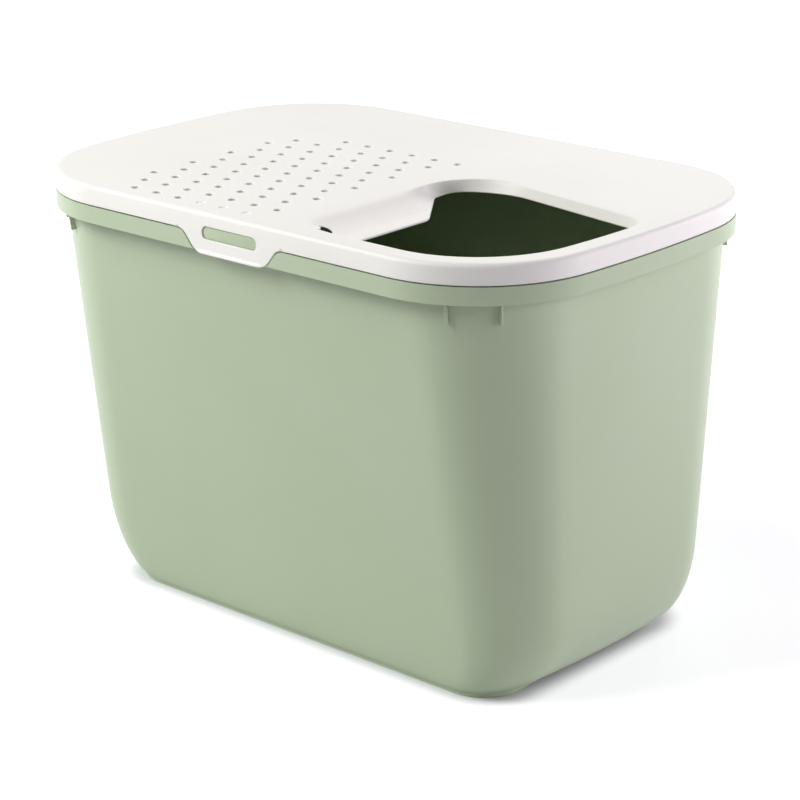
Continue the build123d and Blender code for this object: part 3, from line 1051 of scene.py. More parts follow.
@dataclass(frozen=True)
class EntryRecess:
    """The entry opening: its plan, the low wall round it, and the bank and shelf on its left."""

    rim: Rim
    rail_width: float = 21.0
    length: float = 225.5
    width: float = 226.0
    slant: float = 9.4
    corner: float = 95.0
    nose_radius: float = 27.0
    back_left_radius: float = 51.0
    back_right_radius: float = 26.0
    wall: float = 2.5
    depth: float = 10.0
    bank_width: float = 39.0
    bank_depth: float = 10.9
    bank_onset: float = 12.0
    bank_crest: float = 0.34
    bank_roll: float = 1.4
    bank_flattening: float = 0.62
    shelf_thick: float = 1.9
    wall_lean: float = 1.2
    shelf_width: float = 17.0
    shelf_shares: tuple[float, ...] = (0.06, 0.5, 1.0)
    ledge_width: float = 9.8
    ledge_length: float = 115.2
    ledge_angle: float = 38.0
    ledge_bank: float = 2.8
    ledge_back_start: float = 82.0
    ledge_back_turn: float = 5.0
    ledge_back_pull: tuple[float, float] = (36.0, 22.0)
    shelf_turn_radius: float = 18.0
    ledge_radius: float = 17.0
    edge_round: float = 1.6
    deck_margin: float = 5.0
    margin_step: float = 0.55
    end_steps: tuple[int, int, int] = (26, 12, 12)
    front_steps: int = 8
    back_steps: int = 18
    ledge_steps: int = 26
    turn_steps: int = 7
    run_steps: tuple[int, int, int] = (4, 10, 14)
    nose_steps: int = 24
    nose_points: int = 22
    bank_arc_steps: int = 22
    bank_rows: int = 24
    edge_rows: int = 5
    lip_rows: int = 8
    slope_samples: int = 400

    @property
    def right(self) -> float:
        """Right end of the opening."""
        return self.rim.plan.half_length - self.rail_width

    @property
    def left(self) -> float:
        """Left edge of the bank."""
        return self.right - self.length

    @property
    def front(self) -> float:
        """Front edge of the opening."""
        return self.rail_width - self.rim.face

    @property
    def back(self) -> float:
        """Back edge of the opening, at its left end."""
        return self.front + self.width

    def back_edge(self, x: float) -> float:
        """How far back the slanted edge reaches at a place along the lid."""
        return self.back - (x - self.left) * math.tan(math.radians(self.slant))

    def under_back_edge(self, x: float, radius: float) -> tuple[float, float]:
        """Centre, at an X, of a circle that touches the slanted back edge from the front."""
        return x, self.back_edge(x) - radius / math.cos(math.radians(self.slant))

    def right_end(self) -> np.ndarray:
        """The opening's right end, from the front edge's round corner to the slanted back edge.

        The bowed end lies on a circle of centre (m, 0) and radius q. A corner of radius r touches it where
        its centre is q - r away from (m, 0). At the back that centre also lies r inside the slanted edge,
        so its X is the larger root of (x - m)^2 + (a - b x)^2 = (q - r)^2.

        Returns:
            An array of (points, 2).
        """
        q = (self.front**2 + self.rim.plan.bow**2) / (2 * self.rim.plan.bow)
        m = self.right - q
        front_y = self.front + self.corner
        front_x = m + math.sqrt((q - self.corner) ** 2 - front_y**2)
        front_meet = math.degrees(math.atan2(front_y, front_x - m))
        b = math.tan(math.radians(self.slant))
        a = self.under_back_edge(0.0, self.back_right_radius)[1]
        terms = (1 + b * b, -2 * (m + a * b), m * m + a * a - (q - self.back_right_radius) ** 2)
        back_x = float(np.roots(terms).real.max())
        back_y = a - b * back_x
        back_meet = math.degrees(math.atan2(back_y, back_x - m))
        front_steps, bow_steps, back_steps = self.end_steps
        return np.concatenate(
            [
                arc((front_x, front_y), self.corner, -90, front_meet, front_steps),
                arc((m, 0.0), q, front_meet, back_meet, bow_steps)[1:-1],
                arc((back_x, back_y), self.back_right_radius, back_meet, 90 - self.slant, back_steps),
            ]
        )

    def ledge_bend(self, ledge_x: float) -> np.ndarray:
        """The free edge's bend from the slanted back edge to the ledge's left end.

        It is a cubic Bezier curve, (1-t)^3 a + 3 (1-t)^2 t b + 3 (1-t) t^2 c + t^3 d, which leaves the back
        edge as a tangent and arrives level with the lid's ends.

        Args:
            ledge_x: X of the ledge's left end.

        Returns:
            An array of (points, 2).
        """
        slant = math.radians(self.slant)
        start_x = self.left + self.ledge_back_start
        start = np.array([start_x, self.back_edge(start_x)])
        end = np.array([ledge_x, self.ledge_back_turn])
        leave, arrive = self.ledge_back_pull
        first = start + np.array([-math.cos(slant), math.sin(slant)]) * leave
        second = end + np.array([0.0, arrive])
        share = np.linspace(0, 1, self.ledge_steps + 1)[:, None]
        rest = 1 - share
        return rest**3 * start + 3 * rest**2 * share * first + 3 * rest * share**2 * second + share**3 * end

    def loops(self) -> tuple[np.ndarray, np.ndarray]:
        """Plans of the recess's top edge and of the hole's free edge, point for point.

        Both run counterclockwise from the front end of the shelf. They are one path along the front, the
        right end and the back. On the left the top edge follows the bank, and the free edge follows the
        shelf, its turn and the ledge.

        Returns:
            Two arrays of (points, 2).
        """
        shelf_x = self.left + self.bank_width + self.shelf_width
        ledge_x = self.left + self.ledge_width
        turn_y = self.back - self.ledge_length
        start = np.array([shelf_x, self.front])
        end = self.right_end()
        ledge_arc = self.ledge_bend(ledge_x)
        front = run(start, end[0], self.front_steps)
        back = run(end[-1], ledge_arc[0], self.back_steps)
        shared = np.concatenate([[start], front, end, back])

        angle = self.ledge_angle
        ledge_turn = math.tan(math.radians(angle / 2)) * self.ledge_radius
        shelf_turn = math.tan(math.radians(angle / 2)) * self.shelf_turn_radius
        bend_y = turn_y + (shelf_x - ledge_x) / math.tan(math.radians(angle))
        upper_centre = (ledge_x + self.ledge_radius, bend_y + ledge_turn)
        upper = arc(upper_centre, self.ledge_radius, 180, 180 + angle, self.turn_steps)
        lower_centre = (shelf_x - self.shelf_turn_radius, turn_y - shelf_turn)
        lower = arc(lower_centre, self.shelf_turn_radius, angle, 0, self.turn_steps)
        nose_y = self.front + self.nose_radius
        ledge_steps, slant_steps, shelf_steps = self.run_steps
        free = [
            ledge_arc,
            run(ledge_arc[-1], upper[0], ledge_steps),
            upper,
            run(upper[-1], lower[0], slant_steps),
            lower,
            run(lower[-1], (shelf_x, nose_y), shelf_steps),
            resample(np.array([(shelf_x, nose_y), start]), self.nose_points)[:-1],
        ]
        bank_x = ledge_x - self.ledge_bank + self.back_left_radius
        bank_centre = self.under_back_edge(bank_x, self.back_left_radius)
        bank_arc = arc(bank_centre, self.back_left_radius, 90 - self.slant, 180, self.bank_arc_steps)
        bend = resample(np.concatenate([ledge_arc[:1], bank_arc]), len(ledge_arc))
        nose = arc((self.left + self.nose_radius, nose_y), self.nose_radius, 180, 270, self.nose_steps)
        straight = np.concatenate(free[1:6])[:, 1]
        level = np.interp(straight, [nose_y, ledge_arc[-1, 1]], [nose_y, bend[-1, 1]])
        eased = smooth_step((level - turn_y) / (bend[-1, 1] - turn_y))
        top = [
            bend,
            np.stack([self.left + (bend[-1, 0] - self.left) * eased, level], axis=1),
            resample(np.concatenate([nose, [start]]), self.nose_points)[:-1],
        ]
        return np.concatenate([shared, *top]), np.concatenate([shared, *free])

    def surface(self) -> tuple[np.ndarray, np.ndarray]:
        """The recess as one closed strip, from the deck down, round the free edge and up to the plate.

        Where the top edge and the free edge lie apart, the surface runs between them as a bank that eases
        over, falls and eases out, and then as a level shelf. Where they are one, it is a nearly upright wall.
        The bank's slope at a share s of its width is min(s / c, 1)^p (1 - f max(s - c, 0) / (1 - c)), with
        its crest at c, and its height is the running sum of that slope.

        Returns:
            The strip of (rows, columns, 3), and the loop of (columns, 2) where it meets the deck and,
            under that, the plate's underside.
        """
        top_edge, free_edge = self.loops()
        normal, free_normal = outward(top_edge), outward(free_edge)
        across = free_edge - top_edge
        span = np.linalg.norm(across, axis=1)
        heading = across / np.maximum(span, TINY)[:, None]
        banked = smooth_step(span / self.bank_onset)
        bank = np.minimum(self.bank_width, span)
        fall = self.depth + (self.bank_depth - self.depth) * banked
        lid_top, thick = self.rim.lid_top, self.shelf_thick
        lean = normal * (self.wall_lean * (1 - banked))[:, None]

        fine = np.linspace(0, 1, self.slope_samples)
        past_crest = np.clip((fine - self.bank_crest) / (1 - self.bank_crest), 0, 1)
        steepening = np.clip(fine / self.bank_crest, 0, 1) ** self.bank_roll
        slope = steepening * (1 - self.bank_flattening * past_crest)
        eased = np.cumsum(slope) / slope.sum()
        crisp_round = self.edge_round * (1 - banked)

        rows = []
        for margin in (self.deck_margin, self.deck_margin * self.margin_step):
            rows.append(at_height(top_edge + normal * margin, lid_top))
        for turn in quarter_turns(self.edge_rows):
            out = crisp_round * (1 - math.sin(turn))
            down = crisp_round * (1 - math.cos(turn))
            rows.append(at_height(top_edge + normal * out[:, None], lid_top - down))
        edge_row = len(rows) - 1
        for share in np.linspace(0, 1, self.bank_rows + 1)[1:]:
            drop = np.interp(share, fine, eased) * banked + share * (1 - banked)
            plan = top_edge + heading * (bank * share)[:, None] - lean * share
            rows.append(at_height(plan, lid_top - crisp_round - (fall - crisp_round) * drop))
        for share in self.shelf_shares:
            plan = top_edge + heading * (bank + (span - bank) * share)[:, None] - lean
            rows.append(at_height(plan, lid_top - fall))

        drop = np.array([0.0, 0.0, thick])
        outwards = normal * (self.wall * (1 - banked))[:, None]
        shift = at_height(outwards, 0.0)
        under = [row - drop * banked[:, None] + shift for row in rows[-1:edge_row:-1]]
        under = [np.column_stack([row[:, :2], np.minimum(row[:, 2], self.rim.plate_bottom)]) for row in under]
        middle, reach = (rows[-1] + under[0]) / 2, (rows[-1] - under[0]) / 2
        aside = np.column_stack([-free_normal * banked[:, None], -(1 - banked)])
        radius = np.linalg.norm(reach, axis=1, keepdims=True)
        lip = [
            middle + reach * math.cos(turn) + aside * radius * math.sin(turn)
            for turn in np.linspace(0, math.pi, self.lip_rows + 1)[1:-1]
        ]
        deck_loop = top_edge + normal * self.deck_margin
        closing = [at_height(plan, self.rim.plate_bottom) for plan in (top_edge + outwards, deck_loop)]
        return np.stack(rows + lip + under + closing), deck_loop


@dataclass(frozen=True)
class Pads:
    """Thick patches under the plate behind the clips, as low blocks with drawn-in rounded edges."""

    rim: Rim
    half_length: float = 75.0
    start: float = 6.5
    reach: float = 34.0
    thick: float = 2.0
    corner: float = 4.0
    edge_round: float = 0.8
    overlap: float = 0.4

    def covers(self, x: float, y: float) -> bool:
        """True for a place over the front pad."""
        return abs(x) < self.half_length and y < self.reach - self.rim.face

    def pieces(self) -> bpy.types.Object:
        """Makes both patches.

        Each is a stack of rounded rectangles, drawn in by r (1 - cos a) and lowered by r sin a.

        Returns:
            The object.
        """
        near, far = self.rim.face - self.start, self.rim.face - self.reach
        middle = np.array([0.0, -(near + far) / 2])
        low = self.rim.plate_bottom - self.thick
        edge = self.edge_round

        def ring(inset: float, height: float) -> np.ndarray:
            """One rounded rectangle of the pad at a height."""
            flat = rounded_rectangle(self.half_length, (near - far) / 2, self.corner, inset)
            return at_height(flat + middle, height)

        rings = [ring(0, self.rim.plate_bottom + self.overlap), ring(0, low + edge)] + [
            ring(edge * (1 - math.cos(turn)), low + edge * (1 - math.sin(turn)))
            for turn in quarter_turns(4)[1:]
        ]
        draft = Draft()
        draft.solid(np.stack(rings), BOTH_SIDES)
        return draft.mesh("lid_pads")


@dataclass(frozen=True)
class Perforations:
    """Staggered rows of round holes, and the front row's last ones, which are only dimples."""

    rim: Rim
    recess: EntryRecess
    pads: Pads
    diameter: float = 7.6
    pitch: float = 27.05
    row_pitch: float = 23.44
    from_end: float = 129.7
    from_front: float = 21.4
    to_entry: float = 32.0
    plain_rows: int = 9
    front_row_shift: int = 1
    back_row_shift: int = 2
    dimple_depth: float = 0.8
    dimple_round: float = 0.2
    edge_round: float = 0.8
    margin: float = 0.9
    sides: int = 32

    def places(self) -> tuple[list[np.ndarray], list[np.ndarray]]:
        """Centres of the holes and of the dimples, row by row from the front.

        Returns:
            Two lists of (x, y).
        """
        through: list[np.ndarray] = []
        dimples: list[np.ndarray] = []
        first_x = self.from_end - self.rim.plan.half_length
        first_y = self.from_front - self.rim.face
        for row in range(self.plain_rows + 2):
            shift = (row % 2) / 2
            limit = self.recess.left - self.to_entry
            if row == 0:
                shift = self.front_row_shift
            if row == self.plain_rows + 1:
                shift = self.back_row_shift
                limit += self.pitch / 2
            y = first_y + self.row_pitch * row
            for x in np.arange(first_x + self.pitch * shift, limit, self.pitch):
                (dimples if self.pads.covers(x, y) else through).append(np.array([x, y]))
        return through, dimples

    def cut(self, draft: Draft) -> tuple[list[np.ndarray], list[np.ndarray]]:
        """Adds the walls of the holes and dimples, with rounded edges, to the lid.

        Args:
            draft: the lid's surfaces.

        Returns:
            The loops that the deck and the plate's underside leave open.
        """
        through, dimples = self.places()
        top, bottom = self.rim.lid_top, self.rim.plate_bottom
        radius, edge, small = self.diameter / 2, self.edge_round, self.dimple_round
        floor = top - self.dimple_depth
        lip = [(radius + self.margin, top)] + [
            (radius + edge * (1 - math.sin(turn)), top - edge * (1 - math.cos(turn)))
            for turn in quarter_turns(4)
        ]
        hole = lip + [(radius, bottom + edge), (radius, bottom)]
        bowl = [(radius, floor + small / 2), (radius - small, floor), (radius / 2, floor), (0.0, floor)]
        dimple = lip + bowl
        for centres, profile in ((through, hole), (dimples, dimple)):
            for centre in centres:
                rings = [at_height(circle(centre, size, self.sides), height) for size, height in profile]
                draft.grid(np.stack(rings), closed=True)
        above = [circle(centre, radius + self.margin, self.sides) for centre in through + dimples]
        below = [circle(centre, radius, self.sides) for centre in through]
        return above, below


@dataclass(frozen=True)
class Lid:
    """Lid in one moulding: deck, perforations, skirt with the tops of the windows, and the entry recess."""

    rim: Rim
    clip: ClipShape
    finish: bpy.types.Material
    edge_round: float = 4.2
    edge_rows: int = 8
    round_rows: int = 4
    skirt_round: float = 0.5
    inner_round: float = 1.2
    round_fade: float = 8.0
    flat_margin: float = 6.0
    flat_step: float = 1.0
    lower_steps: tuple[int, int, int] = (11, 4, 7)
    window_steps: int = 8
    face_shares: tuple[float, ...] = (0.25, 0.5, 0.75)
    back_shares: tuple[float, ...] = (0.33, 0.66, 1.0)
    hook_diameter: float = 12.5
    hook_sides: int = 40
    hook_inset: tuple[float, float] = (24.5, 20.0)
    hook_depth: float = 0.64
    hook_fall: float = 0.38
    hook_drum: tuple[tuple[float, float], ...] = ((0.0, 8.0), (0.0, -0.6), (2.4, -3.0), (3.0, -9.0))

    def lower_edge(self) -> tuple[np.ndarray, np.ndarray, np.ndarray, np.ndarray]:
        """The skirt's lower edge along the right half of a long side, from the corner to the middle.

        It is level, loses its round where the clip hangs from it, and steps up round the window.

        Returns:
            The edge in X and Z, the direction into the skirt, the round of the edge, and the X that each
            column has at the top of the skirt.
        """
        bottom, radius = self.rim.skirt_bottom, self.clip.window_radius
        tip = self.clip.edge(0, bottom)[0, 0]
        half, rise = self.clip.window_length / 2, self.clip.window_height / 2
        start = self.rim.plan.corner_centre()[0]
        level_steps, fade_steps, root_steps = self.lower_steps
        level = np.concatenate(
            [
                np.linspace(start, tip + self.round_fade, level_steps + 1)[1:],
                np.linspace(tip + self.round_fade, tip, fade_steps + 1)[1:],
                np.linspace(tip, half + self.skirt_round, root_steps + 1)[1:],
            ]
        )
        bend = arc((half - radius, bottom + rise - radius), radius, 0, 90, self.window_steps)
        upper = np.linspace(half - radius, 0, root_steps + 1)[1:]
        edge = np.concatenate(
            [
                np.stack([level, np.full_like(level, bottom)], axis=1),
                [(half, bottom)],
                bend,
                np.stack([upper, np.full_like(upper, bottom + rise)], axis=1),
            ]
        )
        turn = quarter_turns(len(bend) - 1)
        inward = np.concatenate(
            [
                np.tile([0.0, 1.0], (len(level), 1)),
                [(1.0, 0.0)],
                np.stack([np.cos(turn), np.sin(turn)], axis=1),
                np.tile([0.0, 1.0], (len(upper), 1)),
            ]
        )
        rounding = np.full(len(edge), self.skirt_round)
        rounding[: len(level)] *= np.clip((level - tip) / self.round_fade, 0, 1)
        rest = len(edge) - len(level)
        above = np.concatenate([level, np.linspace(half + self.skirt_round, 0, rest)])
        return edge, inward, rounding, above

    def skirt(self) -> np.ndarray:
        """The skirt as a strip from the deck's flat, over the edge, down, round and up to the plate.

        Returns:
            (rows, columns, 3) points.
        """
        rim, plan = self.rim, self.rim.plan
        edge, inward, rounding, above = self.lower_edge()
        bend_count = len(plan.quarter(side=0))

        def draft_at(height: np.ndarray | float) -> np.ndarray | float:
            """How far the outer face leans in at a height."""
            return rim.skirt_draft * (height - rim.skirt_bottom) / (rim.lid_top - rim.skirt_bottom)

        def row(inset: float, height: float, side_x: np.ndarray, side_z: np.ndarray) -> np.ndarray:
            """One quarter row: level round the end and corner, and free in X and Z along the side.

            Args:
                inset: how far the row lies inside the rim's plan.
                height: its height round the end and corner.
                side_x: X of its points along the side.
                side_z: their heights.

            Returns:
                (columns, 3) points.
            """
            shape = plan.inset(inset)
            bend = at_height(shape.quarter(side=0), height)
            side = np.column_stack([side_x, np.full(len(side_x), shape.half_width), side_z])
            return np.concatenate([bend, side])

        def level_row(inset: float, height: float) -> np.ndarray:
            """One quarter row at a height."""
            return row(inset, height, above, np.full(len(above), height))

        def free_row(turn: float, inner: bool) -> np.ndarray:
            """A row round the lower edge.

            Args:
                turn: 0 on the face, 90 on the edge's flat, in degrees.
                inner: True for the round on the inside.

            Returns:
                (columns, 3) points.
            """
            lift = 1 - math.sin(math.radians(turn))
            sink = 1 - math.cos(math.radians(turn))
            side = edge + inward * (rounding * lift)[:, None]
            level = rim.skirt_bottom + self.skirt_round * lift
            inset = rim.skirt_wall - self.skirt_round * sink if inner else self.skirt_round * sink
            made = row(inset, level, side[:, 0], side[:, 1])
            depth = rim.skirt_wall - rounding * sink if inner else rounding * sink
            made[bend_count:, 1] = plan.half_width - depth
            return made

        turn_top = rim.lid_top - self.edge_round
        lean = draft_at(turn_top)
        margins = (self.flat_margin, self.flat_margin - self.flat_step)
        rows = [level_row(margin, rim.lid_top) for margin in margins]
        for turn in quarter_turns(self.edge_rows)[::-1]:
            inset = lean + self.edge_round * (1 - math.cos(turn))
            rows.append(level_row(inset, turn_top + self.edge_round * math.sin(turn)))
        face = free_row(0, inner=False)
        rows += [rows[-1] * (1 - share) + face * share for share in self.face_shares]
        turns = np.linspace(0, 90, self.round_rows + 1)
        rows += [free_row(turn, inner=False) for turn in turns]
        rows += [free_row(turn, inner=True) for turn in turns[::-1]]
        back = level_row(rim.skirt_wall, rim.plate_bottom - self.inner_round)
        rows += [rows[-1] * (1 - share) + back * share for share in self.back_shares]
        for turn in quarter_turns(self.round_rows)[1:]:
            inset = rim.skirt_wall + self.inner_round * (1 - math.cos(turn))
            rows.append(level_row(inset, rim.plate_bottom - self.inner_round * (1 - math.sin(turn))))
        rows.append(level_row(self.flat_margin, rim.plate_bottom))
        return full_ring(np.stack(rows))

    def moulding(self) -> bpy.types.Object:
        """The whole lid as one closed mesh, with the hook hole cut through the bank.

        Returns:
            The object.
        """
        recess = EntryRecess(self.rim)
        draft = Draft()
        skirt = self.skirt()
        draft.grid(skirt, closed=True)
        strip, deck_loop = recess.surface()
        draft.grid(strip, closed=True)
        above, below = Perforations(self.rim, recess, Pads(self.rim)).cut(draft)
        draft.fill(skirt[0, :, :2], [deck_loop] + above, self.rim.lid_top)
        draft.fill(skirt[-1, :, :2], [deck_loop] + below, self.rim.plate_bottom)
        lid = draft.mesh("lid_moulding")
        self.cut_hook_hole(lid, recess)
        return lid

    def cut_hook_hole(self, lid: bpy.types.Object, recess: EntryRecess) -> None:
        """Cuts the round hook hole through the bank with a drum that widens under the surface.

        Each ring of the drum lies parallel to the bank: its height is a level minus the bank's fall times X.

        Args:
            lid: the lid, whose mesh is replaced by the cut one.
            recess: the recess that the hole lies in.
        """
        centre = (recess.left + self.hook_inset[0], recess.front + self.hook_inset[1])
        surface = self.rim.lid_top - recess.bank_depth * self.hook_depth
        rings = []
        for wider, level in self.hook_drum:
            plan = circle(centre, self.hook_diameter / 2 + wider, self.hook_sides)
            rings.append(at_height(plan, surface + level - (plan[:, 0] - centre[0]) * self.hook_fall))
        drum = Draft()
        drum.solid(np.stack(rings))
        cutter = drum.mesh("hook_hole_drum")
        cut = lid.modifiers.new("hook_hole", "BOOLEAN")
        cut.operation = "DIFFERENCE"
        cut.solver = "EXACT"
        cut.object = cutter
        graph = bpy.context.evaluated_depsgraph_get()
        carved = bpy.data.meshes.new_from_object(lid.evaluated_get(graph))
        lid.modifiers.remove(cut)
        carved.name = lid.name
        lid.data = carved
        carved.set_sharp_from_angle(angle=math.radians(SMOOTH_ANGLE))
        bpy.data.objects.remove(cutter)

    def build(self) -> None:
        """Makes the lid's pieces and seats them on the lid."""
        for piece in (self.moulding(), Pads(self.rim).pieces()):
            settle(piece, "lid", "lid", self.finish)
            LOG.info("lid: %s", piece.name)


# ---------------------------------------------------------------------------------------------------------
# Snap clips
# ---------------------------------------------------------------------------------------------------------


class Side(Enum):
    """The long side that a clip hangs on: its node, and its direction in Y."""

    FRONT = ("front_clip", -1)
    REAR = ("rear_clip", 1)


@dataclass(frozen=True)
class SnapClip:
    """Windowed tab that hangs from the skirt, with a lip along its lower edge."""

    rim: Rim
    shape: ClipShape
    side: Side
    finish: bpy.types.Material
    fold_gap: float = 0.05
    edge_round: float = 0.5
    lip_height: float = 2.6
    lip_reach: float = 1.6
    lip_spread: float = 0.75
    lip_fade: float = 9.0
    lip_power: float = 1.2
    lip_crowding: float = 0.7
    root_reach: float = 1.5
    back_shares: tuple[float, ...] = (0.66, 0.33)
    window_steps: int = 12
    edge_steps: int = 16
    plain_rows: int = 5
    lip_rows: int = 8
    round_rows: int = 4
    columns: int = 61

    def tab(self) -> bpy.types.Object:
        """The tab as one strip that runs round the window like a U.

        Across the strip the points go from the window's edge to the clip's edge, both of which are traced
        at evenly spread shares of their length. The lip swells the face near the clip's edge by
        reach * (1 - t^2)^p, where t is the height over the lip's crest, as a share of the lip's spread. It
        fades out towards the clip's corners.

        Returns:
            The object.
        """
        top = self.rim.skirt_bottom - self.fold_gap
        inner = resample(self.shape.window_lower(top, self.window_steps), self.columns)
        outer = self.shape.edge(0, self.rim.skirt_bottom, self.edge_steps)
        outer = outer[outer[:, 1] <= top]
        outer = np.concatenate([[(outer[0, 0] + self.root_reach, top)], outer])
        outer = resample(outer, self.columns)
        inner = np.concatenate([inner[:-1], inner[::-1] * (-1, 1)])
        outer = np.concatenate([outer[:-1], outer[::-1] * (-1, 1)])
        face, back = self.rim.face, self.rim.face - self.rim.skirt_wall
        radius = self.edge_round
        span = outer - inner
        length = np.linalg.norm(span, axis=1, keepdims=True)
        heading = span / length
        lip_middle = self.rim.clip_bottom + self.lip_height / 2

        def row(distance: float | np.ndarray, depth: float, lip: bool) -> np.ndarray:
            """One row along the strip.

            Args:
                distance: how far it lies from the window's edge.
                depth: how far it stands from the box's middle.
                lip: True swells it where the lip is.

            Returns:
                (columns, 3) points.
            """
            plan = inner + heading * distance
            away = (plan[:, 1] - lip_middle) / (self.lip_height * self.lip_spread)
            faded = np.clip((self.shape.bottom_half - np.abs(plan[:, 0])) / self.lip_fade, 0, 1)
            swell = self.lip_reach * faded * np.clip(1 - away**2, 0, 1) ** self.lip_power * lip
            return np.column_stack([plan[:, 0], depth + swell, plan[:, 1]])

        def rounded(turn: float, at_window: bool, on_face: bool, lip: bool = False) -> np.ndarray:
            """A row of a rounded edge.

            Args:
                turn: 0 on the flat and a right angle on the edge's side, in radians.
                at_window: True for the window's edge, False for the clip's.
                on_face: True for the outside, False for the inside.
                lip: True swells it where the lip is.

            Returns:
                (columns, 3) points.
            """
            aside, sunk = radius * (1 - math.sin(turn)), radius * (1 - math.cos(turn))
            distance = aside if at_window else length - aside
            return row(distance, face - sunk if on_face else back + sunk, lip)

        def flat(share: float, depth: float, lip: bool) -> np.ndarray:
            """A row between the two rounded edges."""
            return row(radius + (length - 2 * radius) * share, depth, lip)

        turns = quarter_turns(self.round_rows)
        plain = np.linspace(0, self.lip_crowding, self.plain_rows + 1)[1:]
        shares = np.concatenate([plain, np.linspace(self.lip_crowding, 1, self.lip_rows + 1)[1:]])
        rows = [
            *(rounded(turn, at_window=True, on_face=True) for turn in turns[::-1]),
            *(flat(share, face, lip=True) for share in shares),
            *(rounded(turn, at_window=False, on_face=True, lip=True) for turn in turns[1:]),
            *(rounded(turn, at_window=False, on_face=False) for turn in turns[::-1]),
            *(flat(share, back, lip=False) for share in self.back_shares),
            *(rounded(turn, at_window=True, on_face=False) for turn in turns),
        ]
        surface = np.stack([*rows, rows[0]]) * (1, self.side.value[1], 1)
        draft = Draft()
        draft.grid(surface)
        for column in (0, -1):
            draft.cap(surface[:-1, column])
        return draft.mesh(f"{self.side.value[0]}_tab")

    def build(self) -> None:
        """Makes the clip and seats it on its own body."""
        piece = self.tab()
        name = self.side.value[0]
        settle(piece, name, name, self.finish)
        LOG.info("clip: %s", piece.name)


# ---------------------------------------------------------------------------------------------------------
# Stage
# ---------------------------------------------------------------------------------------------------------


@dataclass(frozen=True)
class Camera:
    """The camera: its direction round and above the box, its distance, its tilt and what it looks at."""

    azimuth: float = 42.66
    elevation: float = 19.07
    distance: float = 2319.19
    roll: float = -0.94
    focal_pixels: float = 2588.17
    frame_pixels: float = 800.0
    sideways: float = 8.09
    target_height: float = 186.27
    sensor: float = 36.0

    def build(self) -> None:
        """Makes the camera and hands it to the scene."""
        turn, rise, roll = (math.radians(angle) for angle in (self.azimuth, self.elevation, self.roll))
        back = Vector((math.sin(turn) * math.cos(rise), -math.cos(turn) * math.cos(rise), math.sin(rise)))
        right = Vector((math.cos(turn), math.sin(turn), 0))
        up = back.cross(right)
        place = (Vector((0, 0, self.target_height)) + right * self.sideways + back * self.distance) * METRES
        tilted_right = right * math.cos(roll) + up * math.sin(roll)
        tilted_up = up * math.cos(roll) - right * math.sin(roll)
        data = bpy.data.cameras.new("camera")
        data.sensor_width = self.sensor
        data.lens = self.sensor * self.focal_pixels / self.frame_pixels
        data.clip_end = 100
        camera = bpy.data.objects.new("camera", data)
        axes = Matrix((tilted_right, tilted_up, back)).transposed()
        camera.matrix_world = Matrix.Translation(place) @ axes.to_4x4()
        bpy.context.scene.collection.objects.link(camera)
        bpy.context.scene.camera = camera


@dataclass(frozen=True)
class Lamp:
    """A soft rectangular lamp that looks at the box."""

    name: str
    place: tuple[float, float, float]
    size: tuple[float, float]
    power: float
    colour: tuple[float, float, float] = (1.0, 1.0, 1.0)
    target: tuple[float, float, float] = (0.0, 0.0, 0.2)

    def build(self) -> None:
        """Makes the lamp."""
        data = bpy.data.lights.new(self.name, "AREA")
        data.shape = "RECTANGLE"
        data.size, data.size_y = self.size
        data.energy = self.power
        data.color = self.colour
        lamp = bpy.data.objects.new(self.name, data)
        place = Vector(self.place)
        aim = (place - Vector(self.target)).to_track_quat("Z", "Y")
        lamp.matrix_world = Matrix.Translation(place) @ aim.to_matrix().to_4x4()
        bpy.context.scene.collection.objects.link(lamp)


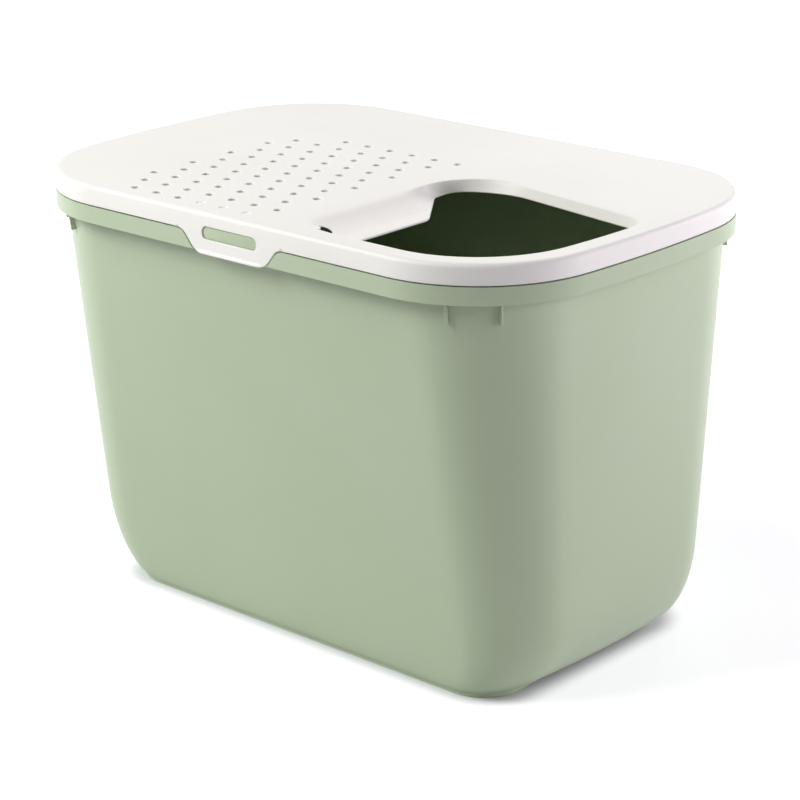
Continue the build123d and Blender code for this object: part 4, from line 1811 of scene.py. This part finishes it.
@dataclass(frozen=True)
class Studio:
    """Pale floor, white surroundings and soft lamps."""

    world_light: float = 0.07
    floor_half: float = 30.0
    floor_colour: tuple[int, int, int] = (214, 215, 218)
    glow_near: float = 0.60
    glow_far: float = 1.0
    glow_from: float = 0.5
    glow_to: float = 1.6
    # Painted contact shadow: the floor's glow is off at the first distance from the feet's plan and full at
    # the second, in metres.
    painted_shadow_start: float = -0.0048
    painted_shadow_end: float = 0.024
    foot_plan: tuple[float, float, float] = (228.0, 126.5, 40.0)
    lamps: tuple[Lamp, ...] = (
        Lamp("left_high", (-2.0, -1.3, 2.2), (1.4, 1.4), 44.0),
        Lamp("front_left_high", (-1.3, -2.2, 2.2), (1.4, 1.4), 61.0),
        Lamp("right_back_low", (1.3, 2.4, 0.9), (1.4, 1.6), 37.5, (1.04, 0.98, 1.08)),
        Lamp("right_low", (2.5, 0.9, 0.9), (1.4, 1.6), 29.0, (1.04, 0.98, 1.08)),
        Lamp("back", (-1.0, 2.3, 1.6), (1.4, 1.4), 12.0),
    )

    def world(self) -> None:
        """Lights the box evenly, and shows plain white to the camera and in reflections."""
        shader = Shader(bpy.data.worlds.new("studio"), "ShaderNodeOutputWorld")
        light = shader.node("ShaderNodeBackground", {}, {"Color": WHITE, "Strength": self.world_light})
        white = shader.node("ShaderNodeBackground", {}, {"Color": WHITE, "Strength": 1.0})
        inputs = {0: shader.backdrop_rays(), 1: shader.wire(light), 2: shader.wire(white)}
        bpy.context.scene.world = shader.finish(shader.node("ShaderNodeMixShader", {}, inputs))

    def floor(self) -> None:
        """Lays a wide level floor that glows white to the camera and keeps the box's shadow.

        The glow grows far from the box, where the lamps reach less, and dies away close to the feet, which
        paints a dark contact shadow round the base. The distance from the feet is |max(|p| - (h - r), 0)| -
        r, for a plan of half sizes h and corner radius r.
        """
        shader = Shader(bpy.data.materials.new("studio_floor"))
        place = shader.place()
        away = shader.vector("LENGTH", place, output=1)
        half_x, half_y, corner = (size * METRES for size in self.foot_plan)
        straight = (half_x - corner, half_y - corner, 0)
        beyond = shader.vector("SUBTRACT", shader.vector("ABSOLUTE", place), straight)
        beyond = shader.vector("MAXIMUM", beyond, (0, 0, 0))
        from_feet = shader.vector("LENGTH", beyond, output=1) - corner
        far = shader.ease(away, self.glow_from, self.glow_to)
        # Painted contact shadow: the glow fades to nothing close to the feet, so the floor darkens round the
        # base.
        clear = shader.ease(from_feet, self.painted_shadow_start, self.painted_shadow_end)
        share = clear * self.glow_near + far * (self.glow_far - self.glow_near)
        inputs = {"Color": shader.backdrop_rays() * share, "Strength": 1.0}
        glow = shader.node("ShaderNodeEmission", {}, inputs)
        paint = shader.node("ShaderNodeBsdfDiffuse", {}, {"Color": linear(self.floor_colour)})
        both = shader.node("ShaderNodeAddShader", {}, {0: shader.wire(glow), 1: shader.wire(paint)})
        half = self.floor_half
        mesh = bpy.data.meshes.new("floor")
        corners = [(-half, -half, 0), (half, -half, 0), (half, half, 0), (-half, half, 0)]
        mesh.from_pydata(corners, [], [(0, 1, 2, 3)])
        floor = bpy.data.objects.new("floor", mesh)
        bpy.context.scene.collection.objects.link(floor)
        mesh.materials.append(shader.finish(both))

    def build(self) -> None:
        """Makes the world, the floor and the lamps."""
        self.world()
        self.floor()
        for lamp in self.lamps:
            lamp.build()
            LOG.info("lamp: %s", lamp.name)
        bpy.context.scene.view_settings.view_transform = "Standard"


def main() -> None:
    """Builds the stage, the tub, the lid and the clips."""
    logging.basicConfig(level=logging.INFO, format="%(name)s: %(message)s")
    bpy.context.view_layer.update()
    Camera().build()
    Studio().build()
    rim = Rim.from_frame()
    clip = ClipShape(rim)
    sage = Finish.SAGE.value.material()
    warm_white = Finish.WARM_WHITE.value.material()
    Tub(rim, clip, sage).build()
    Lid(rim, clip, warm_white).build()
    for side in Side:
        SnapClip(rim, clip, side, warm_white).build()


if __name__ == "__main__":
    main()
